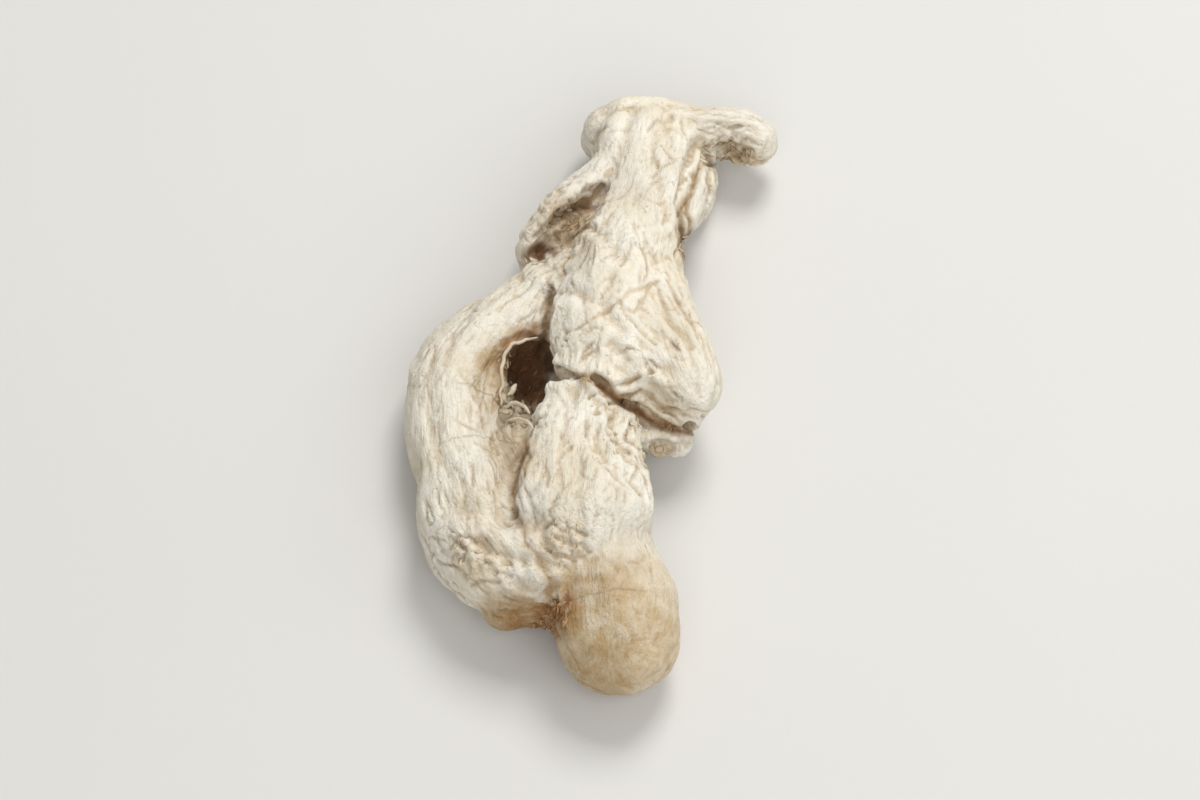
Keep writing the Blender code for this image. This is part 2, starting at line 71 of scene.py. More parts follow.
# Creases as the camera sees them: depth, half width, then how far right and up of the middle.
CREASES = {
    "trunk_and_hook": (
        1.1, 0.28,
        [(-4.9, 13.7), (-4.5, 12.3), (-4.9, 10.6), (-5.4, 8.6), (-5.2, 5.8), (-4.7, 4.1)],
    ),
    "trunk_edge": (0.8, 0.24, [(-4.7, 4.1), (-3.7, 3.5), (-2.3, 3.1), (-0.8, 2.9)]),
    "under_shoulder": (
        1.6, 0.36,
        [
            (0.4, 2.4), (1.4, 1.5), (2.8, 0.2), (4.5, -0.5),
            (6.2, -1.2), (7.6, -2.4), (9.3, -3.3), (11.2, -3.4),
        ],
    ),
    "shoulder_upper": (0.45, 0.2, [(2.8, 1.7), (4.2, 2.2), (5.9, 2.9), (6.8, 3.3)]),
    "shoulder_middle": (0.8, 0.24, [(3.8, 0.7), (5.6, 1.0), (6.9, 0.3), (8.3, -0.7), (10.2, -1.7)]),
    "shoulder_lower": (0.8, 0.24, [(6.6, -0.3), (8.0, -1.2), (9.7, -2.4), (11.1, -2.9)]),
    "trunk_right_1": (0.35, 0.2, [(8.6, 13.7), (9.3, 12.3), (10.4, 10.6), (11.4, 8.9), (12.2, 6.9)]),
    "trunk_right_2": (0.3, 0.2, [(7.6, 12.3), (8.6, 10.3), (10.0, 7.9), (11.4, 5.8)]),
    "trunk_middle_1": (0.35, 0.2, [(3.5, 11.3), (4.5, 9.6), (5.9, 7.9), (7.3, 6.2)]),
    "trunk_middle_2": (0.3, 0.2, [(4.5, 10.6), (5.9, 9.9), (7.6, 8.9), (8.6, 6.9)]),
    "trunk_left_1": (0.3, 0.22, [(-2.3, 13.4), (-1.3, 12.0), (-0.6, 10.6), (-0.8, 8.9)]),
    "trunk_left_2": (0.35, 0.22, [(-3.0, 7.9), (-1.6, 8.1), (-0.3, 8.9), (1.1, 9.9), (3.2, 11.3)]),
    "trunk_top_1": (0.3, 0.22, [(3.2, 11.3), (4.9, 12.3), (7.3, 13.4)]),
    "trunk_low_1": (0.3, 0.2, [(1.3, 9.9), (1.5, 8.6), (1.1, 6.9), (0.4, 5.1)]),
    "trunk_low_2": (0.3, 0.2, [(2.5, 5.1), (3.8, 6.2), (5.0, 5.8), (6.6, 4.5)]),
    "neck_fork": (0.3, 0.2, [(5.8, 19.5), (6.2, 18.5), (6.6, 17.1), (7.4, 15.8)]),
    "neck_and_skin": (
        1.0, 0.30,
        [
            (13.1, 28.6), (12.4, 26.4), (11.4, 24.0), (10.4, 21.9),
            (10.1, 19.5), (10.1, 17.8), (10.8, 15.8), (11.5, 14.1),
        ],
    ),
    "skin_inner": (0.5, 0.2, [(13.5, 27.8), (13.6, 25.7), (13.4, 23.7), (13.0, 21.6), (12.1, 19.5)]),
    "skin_left": (0.5, 0.2, [(11.5, 23.7), (11.0, 21.3), (11.4, 19.5), (11.7, 18.2)]),
    "crest_line_1": (0.3, 0.2, [(6.6, 31.0), (8.1, 31.7), (9.5, 32.4)]),
    "crest_line_2": (0.25, 0.18, [(12.9, 32.6), (14.8, 32.7), (16.9, 32.3), (18.8, 32.0)]),
    "crest_line_3": (0.2, 0.18, [(13.4, 31.5), (15.7, 31.7), (16.9, 31.5)]),
    "crest_torn_1": (0.5, 0.25, [(12.5, 28.8), (14.1, 29.3), (15.5, 28.8), (16.9, 27.8)]),
    "crest_torn_2": (0.5, 0.25, [(14.8, 26.9), (16.5, 26.1), (17.9, 26.7), (19.6, 27.0), (20.6, 27.4)]),
    "split_rim": (
        0.7, 0.3,
        [(-6.8, 18.2), (-5.1, 19.9), (-3.7, 21.3), (-1.6, 22.3), (0.1, 23.0), (1.4, 24.7)],
    ),
    "split_inner_1": (0.5, 0.22, [(-4.1, 19.5), (-3.3, 18.5), (-3.7, 17.3)]),
    "split_inner_2": (0.8, 0.25, [(-5.1, 17.3), (-3.7, 17.8), (-2.0, 18.9), (-0.3, 20.6), (1.1, 22.3)]),
    "split_under_lip": (0.8, 0.35, [(-5.6, 19.4), (-4.0, 20.9), (-2.0, 21.9), (-0.2, 22.4)]),
    "split_pocket": (0.7, 0.5, [(-7.4, 16.2), (-6.2, 17.2), (-5.0, 18.4)]),
    "split_low_edge": (0.7, 0.22, [(-4.4, 16.4), (-3.0, 17.4), (-1.6, 18.6), (-0.4, 19.8)]),
    "bud_nose": (0.35, 0.22, [(-8.1, 15.4), (-6.8, 16.1), (-5.4, 15.7)]),
    "bud_nose_low": (0.3, 0.2, [(-5.8, 14.2), (-4.4, 15.0), (-3.3, 15.4)]),
    "tissue_1": (0.25, 0.2, [(-10.0, 5.9), (-11.3, 4.4), (-12.1, 2.4), (-12.5, -0.7)]),
    "tissue_2": (0.35, 0.22, [(-7.7, -5.3), (-8.9, -7.2), (-9.4, -9.6)]),
    "tissue_3": (0.3, 0.2, [(-10.9, -3.8), (-11.4, -6.1), (-10.9, -7.8)]),
    "hook_line_1": (0.18, 0.3, [(-12.9, 11.1), (-14.6, 8.8), (-16.2, 5.9), (-16.8, 4.0)]),
    "hook_line_2": (0.18, 0.35, [(-17.9, 6.3), (-18.9, 2.8), (-18.7, -1.0), (-18.2, -4.5)]),
    "hook_line_3": (0.2, 0.22, [(-13.7, -0.7), (-14.1, -3.0), (-13.2, -4.7)]),
    "hook_line_4": (0.2, 0.22, [(-14.8, -9.2), (-14.2, -10.7), (-14.6, -12.5)]),
    "hook_pucker_1": (0.4, 0.2, [(-16.4, -15.8), (-15.2, -16.3), (-14.4, -17.3), (-14.8, -18.7)]),
    "hook_pucker_2": (0.35, 0.2, [(-15.4, -15.4), (-14.0, -15.4), (-13.1, -16.5), (-13.3, -17.3)]),
    "hook_pucker_3": (0.4, 0.2, [(-12.2, -18.1), (-10.9, -18.8), (-9.8, -18.5), (-8.9, -19.2)]),
    "hook_pucker_4": (0.35, 0.2, [(-11.8, -19.0), (-10.6, -19.6), (-9.3, -19.9)]),
    "hook_pucker_5": (0.35, 0.2, [(-13.7, -21.2), (-12.1, -20.6), (-10.6, -20.6)]),
    "finger_and_tissue": (0.8, 0.35, [(-7.4, -6.1), (-8.5, -9.2), (-9.2, -11.5), (-9.3, -13.2)]),
    "finger_flake_1": (0.4, 0.2, [(-0.2, 0.1), (1.1, 0.7), (2.3, 0.1)]),
    "finger_flake_2": (0.4, 0.2, [(0.7, -0.3), (1.8, -0.6), (2.8, -0.3)]),
    "finger_flake_3": (0.35, 0.2, [(0.3, -1.5), (1.5, -1.0), (2.6, -1.4)]),
    "finger_rough_1": (0.6, 0.22, [(2.6, -1.4), (2.1, -3.0), (2.6, -4.5), (4.2, -6.1)]),
    "finger_rough_2": (0.6, 0.22, [(4.5, -2.6), (4.1, -4.1), (5.3, -6.1), (6.2, -7.8)]),
    "finger_rough_3": (0.35, 0.22, [(5.4, -7.6), (4.6, -9.2), (5.4, -11.1)]),
    "finger_pucker_1": (
        0.4, 0.22,
        [(-5.6, -15.0), (-4.4, -14.2), (-3.2, -15.0), (-2.0, -14.5), (-0.8, -15.4)],
    ),
    "finger_pucker_2": (0.4, 0.22, [(-4.1, -15.8), (-2.8, -16.6), (-1.3, -16.5), (-0.4, -17.4)]),
    "finger_pucker_3": (0.35, 0.22, [(-5.9, -16.5), (-4.4, -17.7), (-2.4, -18.2), (-0.8, -17.9)]),
    "finger_end_1": (0.2, 0.5, [(-0.9, -18.5), (1.1, -18.1), (3.0, -18.9), (5.3, -18.4), (6.2, -17.6)]),
    "finger_end_2": (0.15, 0.5, [(-0.5, -20.4), (2.2, -20.8), (4.5, -20.0), (5.8, -19.2)]),
    "hook_and_finger": (
        0.4, 0.4,
        [(-9.1, -11.7), (-8.5, -13.8), (-7.1, -16.5), (-5.5, -19.2), (-4.7, -21.6)],
    ),
    "bud_and_knob": (0.6, 0.3, [(-4.7, -27.8), (-5.9, -27.4), (-7.3, -27.2), (-9.0, -26.7)]),
    "knob_line_1": (0.12, 0.3, [(2.2, -26.2), (2.7, -27.8), (2.4, -30.3)]),
    "knob_line_2": (0.12, 0.3, [(4.1, -25.8), (4.5, -27.8), (4.1, -29.7)]),
}
# Sharp edges and thin rims that stand up, told in the same way.
RIMS = {
    "gap_rim": (
        0.7, 0.22,
        [
            (-5.6, 6.9), (-7.2, 7.2), (-8.9, 6.6), (-9.8, 5.2),
            (-10.1, 3.6), (-10.1, 1.3), (-10.3, -0.3),
        ],
    ),
    "gap_fold": (
        0.45, 0.22,
        [
            (-5.9, 8.1), (-7.9, 8.3), (-9.9, 7.4), (-11.4, 6.0),
            (-12.6, 4.4), (-13.2, 3.0), (-13.9, 1.7),
        ],
    ),
    "split_fold": (0.5, 0.25, [(-3.9, 19.9), (-3.2, 18.6), (-2.9, 17.2)]),
    "finger_edge": (0.4, 0.3, [(-4.5, 3.0), (-5.1, 0.9), (-5.9, -1.4), (-6.9, -4.1), (-7.2, -5.9)]),
    "trunk_left_edge": (0.3, 0.3, [(-3.9, 15.4), (-1.6, 17.5), (0.4, 19.9), (2.1, 23.0), (2.6, 25.7)]),
    "split_edge": (
        0.5, 0.25,
        [(-7.5, 18.9), (-5.8, 20.6), (-3.7, 22.3), (-1.3, 24.0), (1.1, 25.7), (2.2, 26.7)],
    ),
    "skin_edge": (0.4, 0.2, [(14.0, 27.4), (13.9, 25.0), (13.4, 22.3), (13.1, 20.6)]),
}

# The section of a drawn line and of a scattered fold, in half widths from its middle: how sharp
# the groove is, then how high, how far out and how broad the lip beside it is.
LINE_SECTION = (1.5, 0.22, 2.6, 1.5)
FOLD_SECTION = (1.6, 0.12, 2.4, 1.6)
# The depth from which a line or a fold takes its full colour, partly painted shade and partly dirt.
LINE_FULL_DEPTH = 0.5
FOLD_FULL_DEPTH = 0.3

# How unevenly each effect is spread over the skin: the size of the patches, where their noise is
# read, the middle amount, how far it swings, the least and the most.
SPREADS = {
    "growth": (5.0, (3.0, 1.0, 7.0), 0.8, 1.1, 0.1, 1.7),
    "wrinkles": (3.4, (1.0, 9.0, 2.0), 0.35, 1.8, 0.0, 1.2),
    "folds": (4.5, (2.0, 6.0, 8.0), 0.65, 1.5, 0.1, 1.3),
    "lines": (1.6, (2.0, 2.0, 9.0), 0.75, 0.9, 0.25, 1.3),
    "relief": (5.0, (8.0, 3.0, 5.0), 0.6, 0.9, 0.15, 1.3),
}
# How places shift right and up, so that none has a plain outline: how far, the size of the waves,
# and where the noise of each direction is read.
WOBBLES = {
    "growth": (1.4, 2.6, (4.0, 4.0, 1.0), (6.0, 0.0, 2.0)),
    "lines": (0.6, 2.2, (5.0, 1.0, 2.0), (1.0, 8.0, 4.0)),
    "patches": (1.0, 2.2, (9.0, 1.0, 2.0), (3.0, 8.0, 4.0)),
    "edges": (0.35, 1.1, (5.0, 2.0, 1.0), (1.0, 6.0, 4.0)),
}
# How far skin may turn from the camera and still take part: added to the cosine of its turn, and
# the cosines over which it fades in.
FACING_GROWTH = (0.25, 0.5)
FACING_LINES = (0.1, 0.4)
FACING_COLOUR = (0.7, 0.3)

# The middle lines of the lobes, which the lengthwise wrinkles follow: x, y, z.
SPINES = {
    "trunk": [(8, 38, 6), (6, 24, 8), (4, 13, 9), (4, 3, 9)],
    "crest": [(0, 34, 5), (9, 37, 6), (22, 34, 6)],
    "shoulder": [(5, 8, 9), (9, 0, 9), (12, -6, 9)],
    "middle_finger": [(-1, 0, 9), (-1.5, -10, 9), (-1.5, -20, 9)],
    "hooked_finger": [
        (-2, 17, 7), (-8, 12, 7), (-13, 5, 6), (-16.5, -2, 5.5),
        (-15.5, -10, 5.5), (-12, -18, 7), (-6, -24, 7),
    ],
    "knob": [(1, -22, 7), (2, -30, 6), (2, -40, 6)],
}

# How much more the skin grows than the flesh, across the lobes and along them.
GROWTH_ACROSS = 0.042
GROWTH_ALONG = 0.022
GROWTH_HEADING_TURNS = 20
BENDING = 0.30
FLESH_HOLD = 0.03
GROWTH_TURNS = 240
GROWTH_RAMP = 0.6
GROWTH_STEP = 0.28
GROWTH_DRAG = 0.9
LONGEST_MOVE = 0.08
UNEVENNESS = 0.02
SEED = 11

# Wrinkles along the lobes. Their noise drifts slowly in the given direction along a lobe, starts
# elsewhere for each lobe, and is itself bent by a broader noise: how broad and how far.
WRINKLE_SPACING = 1.7
WRINKLE_WIDTH = 0.16
WRINKLE_STRETCH = 5.0
WRINKLE_HEIGHT = 0.30
WRINKLE_BEND = (0.5, 0.8)
ALONG_DRIFT = (0.3, 0.5, 0.8)
LOBE_STARTS = (7.0, 3.0, 1.0)
# How quickly one lobe's wrinkles give way to the next one's, the least share that is drawn, and
# how much nearer than any other a lobe has to be for its fibres to show in full.
LOBE_BLEND = 1.2
LOBE_LEAST = 0.05
LOBE_SURE = 1.5

# Fine relief: its size and height, how its noise is bent and built up, and what counts as level.
RELIEF_SIZE = 2.3
RELIEF_HEIGHT = 0.11
RELIEF_BEND = (0.8, 0.8)
RELIEF_OCTAVES = 4
RELIEF_FADE = 0.6
RELIEF_MIDDLE = 0.5

# Short thin folds scattered over the skin.
FOLD_COUNT = 1300
FOLD_STEP = 0.4
FOLD_LENGTHS = (1.2, 6.0)
FOLD_SHORTENING = (0.5, 1.0)
FOLD_DEPTHS = (0.06, 0.38)
FOLD_DEEPEST = 0.6
FOLD_HALF_WIDTH = 0.13
FOLD_WIDENING = 0.2
FOLD_TURN = 0.5
FOLD_HEADING_TURNS = 6
# How a fold bends: at its start, how much of the bend each step keeps, and what it may add.
FOLD_FIRST_BEND = 0.03
FOLD_BEND_KEPT = 0.7
FOLD_BEND_ADDED = 0.06
# How far round its middle a fold works: a share of its length and a margin.
FOLD_REACH = (0.6, 1.5)
# Calm places with fewer folds: right, up, radius, how calm.
CALM_PLACES = [
    (3.0, -27.5, 8.0, 0.8),
    (3.5, -17.0, 4.0, 0.75),
    (5.0, 24.0, 4.0, 0.6),
    (-16.5, 0.0, 8.0, 0.45),
]
CALM_HARDNESS = 4

# Places where the growth differs: right and up of the middle as the camera sees them, radius, amount.
GROWTH_PLACES = {
    "gap_web": (-8.4, -1.4, 2.4, 0.45),
    "hook_pucker": (-13.4, -17.7, 3.4, 0.06),
    "hook_low": (-10.0, -19.5, 3.0, 0.05),
    "finger_pucker": (-3.2, -16.1, 3.0, 0.09),
    "trunk_right": (9.0, 8.6, 5.0, 0.02),
    "split_inside": (-2.7, 19.6, 2.0, -0.12),
    "shoulder": (6.6, -0.3, 3.6, 0.05),
    "finger_rough": (4.5, -5.3, 3.2, 0.04),
    "crest_torn": (16.9, 27.6, 3.2, 0.25),
    "split_bud": (-2.7, 20.9, 3.6, 0.20),
    "scar": (-3.8, -24.7, 2.4, 0.30),
    "knob": (3.0, -27.0, 9.0, -0.14),
    "finger_end": (3.8, -17.0, 4.2, -0.06),
    "hook": (-16.5, -2.0, 9.0, -0.03),
    "neck": (4.5, 24.0, 6.0, -0.02),
}
GROWTH_HARDNESS = 3

# Torn bits: right, up, radius of the place, how many, length, width as a share of it, brownness.
TORN_PLACES = [
    (-8.4, -1.6, 1.6, 34, 1.1, 0.5, 0.3),
    (-9.4, 1.6, 0.9, 10, 1.0, 0.4, 0.3),
    (-10.0, 4.6, 1.0, 8, 1.2, 0.3, 0.6),
    (-4.2, -24.6, 1.8, 46, 1.3, 0.35, 1.0),
    (-5.6, -26.6, 1.4, 14, 1.0, 0.4, 0.9),
    (16.6, 27.3, 2.2, 40, 1.2, 0.4, 0.5),
    (13.6, 28.6, 1.6, 16, 1.1, 0.4, 0.3),
    (-2.6, 20.2, 1.6, 12, 1.1, 0.5, 0.5),
    (-7.2, 15.6, 1.0, 8, 1.0, 0.4, 0.3),
    (7.4, -6.6, 1.6, 22, 1.1, 0.45, 0.4),
    (4.2, -4.6, 2.4, 30, 0.9, 0.45, 0.2),
    (-0.4, 2.5, 0.6, 4, 0.6, 0.5, 0.8),
    (-3.2, -16.2, 2.6, 26, 0.8, 0.4, 0.2),
    (-13.6, -17.6, 2.6, 26, 0.9, 0.4, 0.3),
    (11.0, 17.6, 1.4, 12, 1.0, 0.35, 0.5),
]
BIT_THICKNESS = 0.16
BIT_BEND = 0.5
# How the bits vary: size, brownness, how far one side is lifted in radians, how ragged the outline
# is, how fine its noise is and over how wide a range it is read.
BIT_SIZES = (0.5, 1.2)
BIT_BROWNS = (0.6, 1.2)
BIT_LIFTS = (0.1, 0.7)
BIT_RAGGED = 0.7
BIT_RAGGED_SCALE = 2.5
BIT_NOISE_RANGE = 50
BIT_LEAST_FACING = 0.15

# Thin edges of torn skin that stand up round the gap: half width, brownness, line right and up.
TORN_EDGES = [
    (
        0.24, 0.1,
        [
            (-10.3, -0.8), (-10.2, 1.3), (-10.2, 3.6), (-9.9, 5.2),
            (-9.0, 6.5), (-7.5, 7.1), (-6.1, 7.0),
        ],
    ),
    (0.24, 0.1, [(-10.0, -0.7), (-8.9, -0.2), (-7.7, -0.6), (-6.9, -1.6)]),
    (0.22, 0.1, [(-9.5, -2.3), (-8.3, -2.0), (-7.3, -2.5), (-6.7, -3.3)]),
    (0.34, 0.0, [(-9.5, 0.6), (-9.0, 1.1), (-8.6, 1.9)]),
]
# Steps along an edge, how far it may fall in a step, how deep it sits in the skin, how far beside
# it the skin that carries it is looked for, how its height is evened out, and how thin its tips are.
EDGE_STEP = 0.4
EDGE_FALL = 0.35
EDGE_SINK = 0.14
EDGE_BESIDE = 0.5
EDGE_EVENING = (0.25, 0.5, 0.25)
EDGE_TIP = 0.35

# Colours of the skin and of what lies under it, as linear red, green and blue.
CHALK = (0.86, 0.82, 0.725, 1)
CREAM = (0.76, 0.69, 0.55, 1)
SHADE = (0.60, 0.50, 0.35, 1)
TAN = (0.52, 0.37, 0.19, 1)
OCHRE = (0.36, 0.22, 0.085, 1)
RUST = (0.32, 0.145, 0.045, 1)
# The dark brown of painted shade and dirt in the deepest folds and hollows.
SHADE_AND_DIRT_BROWN = (0.16, 0.075, 0.032, 1)
GREY = (0.64, 0.62, 0.55, 1)
FLOOR_PALE = (0.665, 0.655, 0.635, 1)
FLOOR_DARK = (0.645, 0.635, 0.615, 1)

# The colours laid over cream and chalk in turn: mask, colour, its least share and what mottle adds.
LAYERS = [
    ("grey", GREY, 0.7, 0.0),
    ("tan", TAN, 0.6, 0.35),
    # Painted shade and dirt in the bottoms of the wide folds.
    ("fold", SHADE, 0.30, 0.0),
    # Ochre in the fine creases: partly painted shade, partly dirt.
    ("crease", OCHRE, 0.1, 0.35),
    # Ochre along the drawn lines and scattered folds: partly painted shade, partly dirt.
    ("drawn", OCHRE, 0.55, 0.0),
    ("ochre", OCHRE, 0.5, 0.5),
    ("rust", RUST, 0.6, 0.5),
]
# Chalk on the ridges: its least share, what the broad noise adds, and how much a stain, partly painted
# shade, takes away.
CHALK_LEAST = 0.1
CHALK_ADDED = 0.4
CHALK_HIDDEN = 0.8
# How much shade the mottle, ochre the specks and shade the fibres bring.
MOTTLE_SHADE = 0.14
SPECK_OCHRE = 0.55
FIBRE_SHADE = 0.4
FIBRE_RELIEF = 1.5

# Noise in the materials: how fine it is to the metre, or along a lobe to the millimetre, then its
# detail and, where they differ from the usual ones, its roughness and distortion.
BROAD_NOISE = (140.0, 3.0)
MOTTLE_NOISE = (600.0, 4.0, 0.6, 0.4)
WRINKLE_NOISE = (900.0, 5.0, 0.65, 0.8)
SPECK_NOISE = (1500.0, 2.0, 0.5)
TORN_NOISE = (420.0, 2.0)
FIBRE_NOISE = (2.2, 4.0, 0.6, 0.3)
CLOUD_NOISE = (25.0, 4.0)
GRAIN_NOISE = (3.0, 0.6)
# The part of each noise that is stretched from 0 to 1.
BROAD_RANGE = (0.35, 0.65)
MOTTLE_RANGE = (0.38, 0.66)
SPECK_RANGE = (0.68, 0.76)
FIBRE_RANGE = (0.56, 0.72)
# How much rust a torn piece has where it isn't brown, and what brownness adds.
TORN_RUST = (-1.2, 2.0)
SPECULAR = 0.25
# Fine grain of the skin and of the floor: how fine, the least roughness and what it adds to it.
SKIN_GRAIN = (2600.0, 0.75, 0.2)
FLOOR_GRAIN = (900.0, 0.8, 0.15)
# Bumps: strength, then height in metres.
WRINKLE_BUMP = (0.8, 0.0003)
SKIN_BUMP = (0.7, 0.0002)
TORN_BUMP = (0.6, 0.0002)
FLOOR_BUMP = (0.2, 0.0001)

# Soft lights, in metres: name, place, size, power, colour.
LIGHTS = [
    ("window", (0.12, 0.32, 0.50), 0.24, 2.32, (1.0, 0.99, 0.965)),
    ("fill", (0.10, -0.40, 0.42), 0.6, 1.8, (1.0, 1.0, 1.0)),
    ("side", (0.45, -0.08, 0.28), 0.4, 0.45, (0.95, 0.98, 1.0)),
]
SKY_COLOUR = (1.0, 0.99, 0.97, 1)
SKY_STRENGTH = 0.37
FLOOR_HALF_WIDTH = 1.5

# Patches of colour, some partly painted shade, placed as the growth places are: name of the mask,
# right, up, radius, strength.
PATCHES = [
    ("tan", 2.6, -27.4, 9.9, 1.0),
    # Rear bud: partly painted shade under the hook, partly its own brown.
    ("tan", -9.0, -26.2, 4.6, 1.0),
    ("tan", -9.2, -6.0, 3.2, 0.7),
    ("tan", -11.9, 2.0, 2.4, 0.5),
    ("tan", -3.2, -16.1, 3.4, 0.4),
    ("tan", 16.6, 27.4, 2.4, 0.9),
    ("tan", -2.7, 20.2, 3.2, 0.9),
    ("ochre", -1.6, 21.0, 1.8, 0.6),
    ("tan", -13.0, -17.2, 3.0, 0.4),
    ("tan", -10.9, 4.4, 2.2, 1.0),
    ("tan", -10.8, 0.6, 2.2, 0.8),
    ("ochre", -10.6, 5.2, 1.3, 0.8),
    ("ochre", -10.9, 2.2, 1.1, 0.45),
    # Rear bud: partly painted shade under the hook, partly its own brown.
    ("rust", -8.6, -26.8, 3.6, 0.45),
    ("ochre", -0.6, 22.6, 1.4, 0.7),
    ("tan", 7.4, -1.4, 2.6, 0.2),
    ("tan", 9.6, 7.6, 2.6, 0.25),
    ("ochre", -3.9, -24.9, 2.8, 1.2),
    ("ochre", -0.5, 2.5, 0.9, 1.2),
    ("ochre", 7.4, -6.7, 1.5, 0.8),
    # Rear bud: partly painted shade under the hook, partly its own brown.
    ("ochre", -8.0, -26.4, 4.6, 1.2),
    ("rust", -4.7, -25.0, 2.0, 1.2),
    ("rust", -2.8, -23.0, 1.3, 0.9),
    ("ochre", -2.6, -21.4, 2.2, 0.7),
    ("rust", -5.6, -27.2, 1.4, 0.7),
    # Painted shadow of the finger's end on the top of the knob.
    ("ochre", 2.0, -20.9, 3.0, 0.55),
    # Partly painted shade on the knob's lower side, partly its own brown.
    ("ochre", 0.4, -31.6, 4.6, 0.6),
    ("ochre", 3.2, -26.6, 1.6, 0.25),
    # Partly painted shade on the knob's lower side, partly its own brown.
    ("ochre", 3.0, -33.6, 3.0, 0.3),
    ("ochre", -8.4, -1.0, 1.8, 0.5),
    ("ochre", 0.6, 23.6, 1.8, 0.5),
    ("grey", -6.7, -12.3, 3.0, 0.8),
    ("grey", 3.4, -14.6, 4.0, 0.8),
    ("grey", 2.6, -15.8, 2.6, 0.6),
]
PATCH_HARDNESS = 4
# How far a patch's outline wanders: a share of its radius, but no further than the most.
PATCH_BEND = 0.35
PATCH_BEND_MOST = 0.9
# Stains along the deep folds, partly painted shade in them: name of the mask, strength, half width,
# line right and up.
FOLD_STAINS_AND_SHADE = [
    # Under the shoulder, this and the next: partly painted shadow, partly reddish skin.
    ("ochre", 0.85, 0.75, [(0.2, 2.4), (2.0, 0.9), (4.5, -0.8), (7.6, -2.7), (11.2, -3.8)]),
    ("rust", 0.9, 0.42, [(1.4, 1.4), (3.0, 0.1), (5.4, -1.2), (7.8, -2.8), (10.8, -3.6)]),
    ("ochre", 0.7, 0.35, [(-4.9, 3.4), (-3.7, 3.1), (-1.6, 2.9)]),
    ("ochre", 0.6, 0.45, [(-4.8, 12.9), (-4.9, 10.6), (-5.4, 8.6), (-5.2, 5.8)]),
    # This and the next: painted shadow of the hook's lip over the gap.
    ("ochre", 0.9, 0.8, [(-6.4, 8.3), (-8.6, 7.6), (-11.0, 5.9), (-12.5, 3.6)]),
    ("rust", 0.9, 0.6, [(-6.2, 7.9), (-8.2, 7.4), (-9.9, 6.3)]),
    ("ochre", 0.5, 0.4, [(-12.5, 3.6), (-13.0, 0.6), (-12.5, -3.0)]),
    ("ochre", 0.6, 0.6, [(-6.9, -4.4), (-8.2, -8.0), (-9.2, -11.5)]),
    ("ochre", 0.6, 0.5, [(12.8, 27.0), (11.0, 23.0), (10.2, 19.0), (11.3, 14.6)]),
    ("rust", 0.6, 0.5, [(10.4, 19.4), (10.6, 17.6), (11.2, 15.6)]),
    ("ochre", 0.5, 0.7, [(-8.7, -12.6), (-7.1, -16.5), (-5.2, -20.6)]),
    ("ochre", 0.55, 0.4, [(5.6, 1.0), (7.4, -0.4), (9.4, -1.8)]),
    # Rear bud beside the knob: partly painted shade under the hook, partly its own brown.
    ("rust", 0.9, 0.6, [(-4.4, -27.4), (-6.2, -27.6), (-8.4, -27.2)]),
]
# Thin dark lines of painted shade and dirt at the bottom of the deepest folds: strength, half width,
# line.
SHADE_AND_DIRT_LINES = [
    (0.8, 0.3, [(0.9, 1.7), (2.0, 0.7), (3.4, -0.5), (5.4, -1.5), (7.8, -3.0), (11.0, -3.8)]),
    (0.7, 0.22, [(-4.8, 13.0), (-4.6, 11.8), (-5.0, 10.2), (-5.4, 8.6)]),
    (0.7, 0.25, [(-7.2, -5.2), (-8.3, -8.0), (-9.1, -10.8)]),
    (0.7, 0.3, [(10.4, 19.6), (10.4, 17.8), (11.1, 15.8)]),
    (0.75, 0.4, [(-3.6, 21.4), (-1.8, 21.8), (0.3, 21.9)]),
    (0.75, 0.25, [(-2.9, 18.0), (-1.8, 18.8), (-0.5, 19.8)]),
    (0.8, 0.5, [(-6.8, 17.4), (-5.3, 17.3), (-4.2, 16.9)]),
]
# Hollows with painted shade and dirt, dark brown inside: right, up, radius, how high above the floor
# they reach.
HOLLOWS_WITH_SHADE_AND_DIRT = [
    (-7.6, 4.4, 3.6, 10.5),
    (-6.8, 1.2, 2.4, 9.5),
    (-6.2, 16.9, 1.4, 10.0),
    (11.2, 17.8, 1.6, 9.0),
]
HOLLOW_HARDNESS = 6
# The height over which the painted shade and dirt fade at the top of a hollow.
HOLLOW_FADE = 2.0

# How often the skin is evened out to tell its creases and ridges, and its wide folds, and how far
# a point then has to lie off the even skin to count in full.
NEAR_TURNS = 6
WIDE_TURNS = 60
CREASE_FULL = 0.05
RIDGE_FULL = 0.06
WIDE_FULL = 0.35


def clamp(values, low=0.0, high=1.0):
    return np.minimum(np.maximum(values, low), high)


def seen_from_camera(points):
    """How far right and up of the middle the camera sees each point, at the middle's distance."""
    eye = VIEW_MIDDLE + VIEW_BACK * VIEW_DISTANCE
    offset = points - eye
    scale = VIEW_DISTANCE / -(offset @ VIEW_BACK)
    return np.stack([(offset @ VIEW_ACROSS) * scale, (offset @ VIEW_UP) * scale], 1)


def noise_at(points, size, shift):
    """Smooth noise between about -1 and 1 at every point."""
    place = Vector(shift)
    return np.array([noise.noise(Vector(point) / size + place) for point in points])


def spread_at(points, name):
    """How strongly the named effect works at each point."""
    size, shift, middle, swing, least, most = SPREADS[name]
    return clamp(middle + swing * noise_at(points, size, shift), least, most)


def wobble_at(points, name):
    """How far right and up the named places shift at each point."""
    amount, size, first, second = WOBBLES[name]
    return amount * np.stack([noise_at(points, size, first), noise_at(points, size, second)], 1)


def facing(normals, shift, width):
    """From 0 for skin that is turned away from the camera to 1 for skin that faces it."""
    return clamp((normals @ VIEW_BACK + shift) / width)


def within(spots, right, up, radius, hardness):
    """1 in the middle of a round place, falling to 0 past its radius, the harder the faster."""
    gap = np.linalg.norm(spots - (right, up), axis=1) / radius
    return np.exp(-(gap**hardness))


